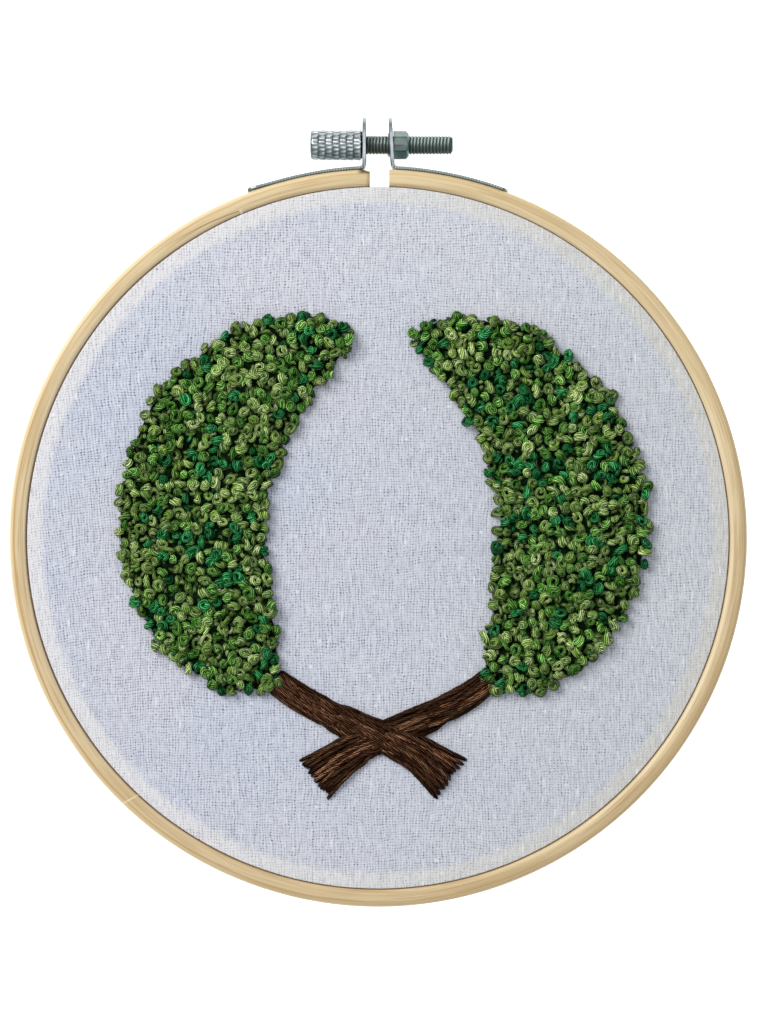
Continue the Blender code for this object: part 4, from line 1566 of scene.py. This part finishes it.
# %% The two stems
def make_stem(name, side, height, seed):
    """A closed lower layer of long stitches and half as many over it."""
    dice = Random(seed)
    threads = []
    for layer in range(2):
        for first, last, count in STEM_STRETCHES:
            count = count if layer == 0 else ceil(count * 0.5)
            for k in range(count):
                lane = (2 * (k + 0.5) / count - 1) * (0.98 - 0.20 * layer) + dice.uniform(-0.06, 0.06)
                start = max(0.0, first + dice.uniform(-0.05, 0.07) * (first > 0) + dice.uniform(0, 0.03))
                end = last + dice.uniform(-0.08, 0.08) * (last < 1)
                path = stitch_path(dice, side, lane, start, end, height, 0.08 + 0.20 * layer)
                path[:, 2] += layer * dice.uniform(0.25, 0.50) * MM
                dye = (dice.random() ** 1.8, dice.random())
                threads.append((path, dice.uniform(*STEM_THREAD) * MM, dice.uniform(0.35, 0.7) / MM, dye))
    return add_threads(name, threads, brown, "bark_thread")


stem_over = make_stem("stem_over", -1, STEM_HEIGHT, LEFT_STEM_SEED)
stem_under = make_stem("stem_under", 1, STEM_HEIGHT * 0.5, RIGHT_STEM_SEED)
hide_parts("stems")
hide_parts("stems")

# %% [markdown]
# ## The back of the work
#
# Behind the cloth, the thread runs on from each knot to the nearest one of its colour, in
# short straight floats that lie flat against the weave and cross each other. A stitcher
# works like that, so a walk from each knot to its nearest neighbour gives their ends. The
# stems show as long floats too. None of this is in view from the front.

# %% Floats between the knots
UNDER_CLOTH = CLOTH_TOP - CLOTH_THICK
FLOAT_STATIONS = 5
FLOAT_SIDES = 6
LONGEST_FLOAT = 14 * MM
FLOAT_THREAD = 0.26, 0.36                       # radii in millimetres
KNOT_FLOAT_SEED, STEM_FLOAT_SEED = 61, 71


def nearest_walk(places):
    """The places in the order of a walk that always goes on to the nearest one left."""
    left = [np.array(place) for place in places]
    walk = [left.pop(0)]
    while left:
        away = [hypot(*(place - walk[-1])) for place in left]
        walk.append(left.pop(int(np.argmin(away))))
    return walk


def float_between(start, end, dice):
    """One float: up through the cloth at both ends and pressed flat between them."""
    t = np.linspace(0.0, 1.0, FLOAT_STATIONS)
    across = unit(np.array([start[1] - end[1], end[0] - start[0]]))
    path = np.empty((FLOAT_STATIONS, 3))
    path[:, :2] = start + np.outer(t, end - start)
    path[:, :2] += np.outer(np.sin(pi * t), across) * dice.gauss(0, 0.15) * MM
    path[:, 2] = UNDER_CLOTH + 0.1 * MM - dice.uniform(0.35, 0.60) * MM * np.sin(pi * t) ** 0.4
    dye = (dice.random(), dice.random())
    return path, dice.uniform(*FLOAT_THREAD) * MM, dice.uniform(0.3, 0.9) / MM, dye


print(f"the floats start {UNDER_CLOTH / MM:.2f} mm above the back of the hoop")


# %% All the floats
def make_floats(colour):
    dice = Random(KNOT_FLOAT_SEED)
    floats = []
    for word in ("left", "right"):
        walk = nearest_walk(knot_places[word, colour])
        for start, end in zip(walk, walk[1:]):
            if hypot(*(end - start)) < LONGEST_FLOAT:
                floats.append(float_between(start, end, dice))
    return add_threads(f"floats_{colour}", floats, GREENS[colour], "leaf_thread", FLOAT_SIDES)


def make_stem_floats():
    dice = Random(STEM_FLOAT_SEED)
    floats = []
    for side in (-1, 1):
        for first, last, count in STEM_STRETCHES:
            for k in range(count):
                at = np.sort(np.array([first, last]) + [dice.uniform(-0.05, 0.08), dice.uniform(-0.08, 0.05)])
                line = smooth_line(at)
                off = (2 * (k + 0.5) / count - 1) * 0.85 * line[:, 2] / 2
                run = unit(line[1, :2] - line[0, :2])
                x, y = line[:, 0] - run[1] * off, line[:, 1] + run[0] * off
                ends = np.stack([WREATH_X - side * x, WREATH_Y + y], 1)
                floats.append(float_between(ends[0], ends[1], dice))
    return add_threads("floats_brown", floats, brown, "bark_thread", FLOAT_SIDES)


floats = [*[make_floats(colour) for colour in GREENS], make_stem_floats()]

# %% [markdown]
# ## Floor and the end
#
# A pale floor carries the hoop and isn't part of it. It glows a little, like the top of a
# light table, so that it stays white under the hoop's soft shadow. At the end the solids'
# box is printed.

# %% Floor
FLOOR_HALF = 1.5
floor_finish, start = start_finish("pale_floor", Emission_Color=(1, 1, 1, 1), Emission_Strength=0.8)
x, y, z = place_in_mm(start)
grain = noise(vector(x * 0.5, y * 0.5))
floor_colour = mix_colour((248, 248, 248), (250, 250, 250), grain)
end_finish(floor_finish, floor_colour, grain * 0.1 + 0.8, grain, 0.01 * MM)
floor_mesh = bpy.data.meshes.new("floor")
signs = [(-1, -1), (1, -1), (1, 1), (-1, 1)]
floor_corners = [(i * FLOOR_HALF, j * FLOOR_HALF, -0.02 * MM) for i, j in signs]
floor_mesh.from_pydata(floor_corners, [], [(0, 1, 2, 3)])
floor_mesh.materials.append(floor_finish)
floor = bpy.data.objects.new("floor", floor_mesh)
bpy.context.scene.collection.objects.link(floor)
print("floor laid")

print("box of the solids:", [round(side / MM, 2) for side in cad_high - cad_low])
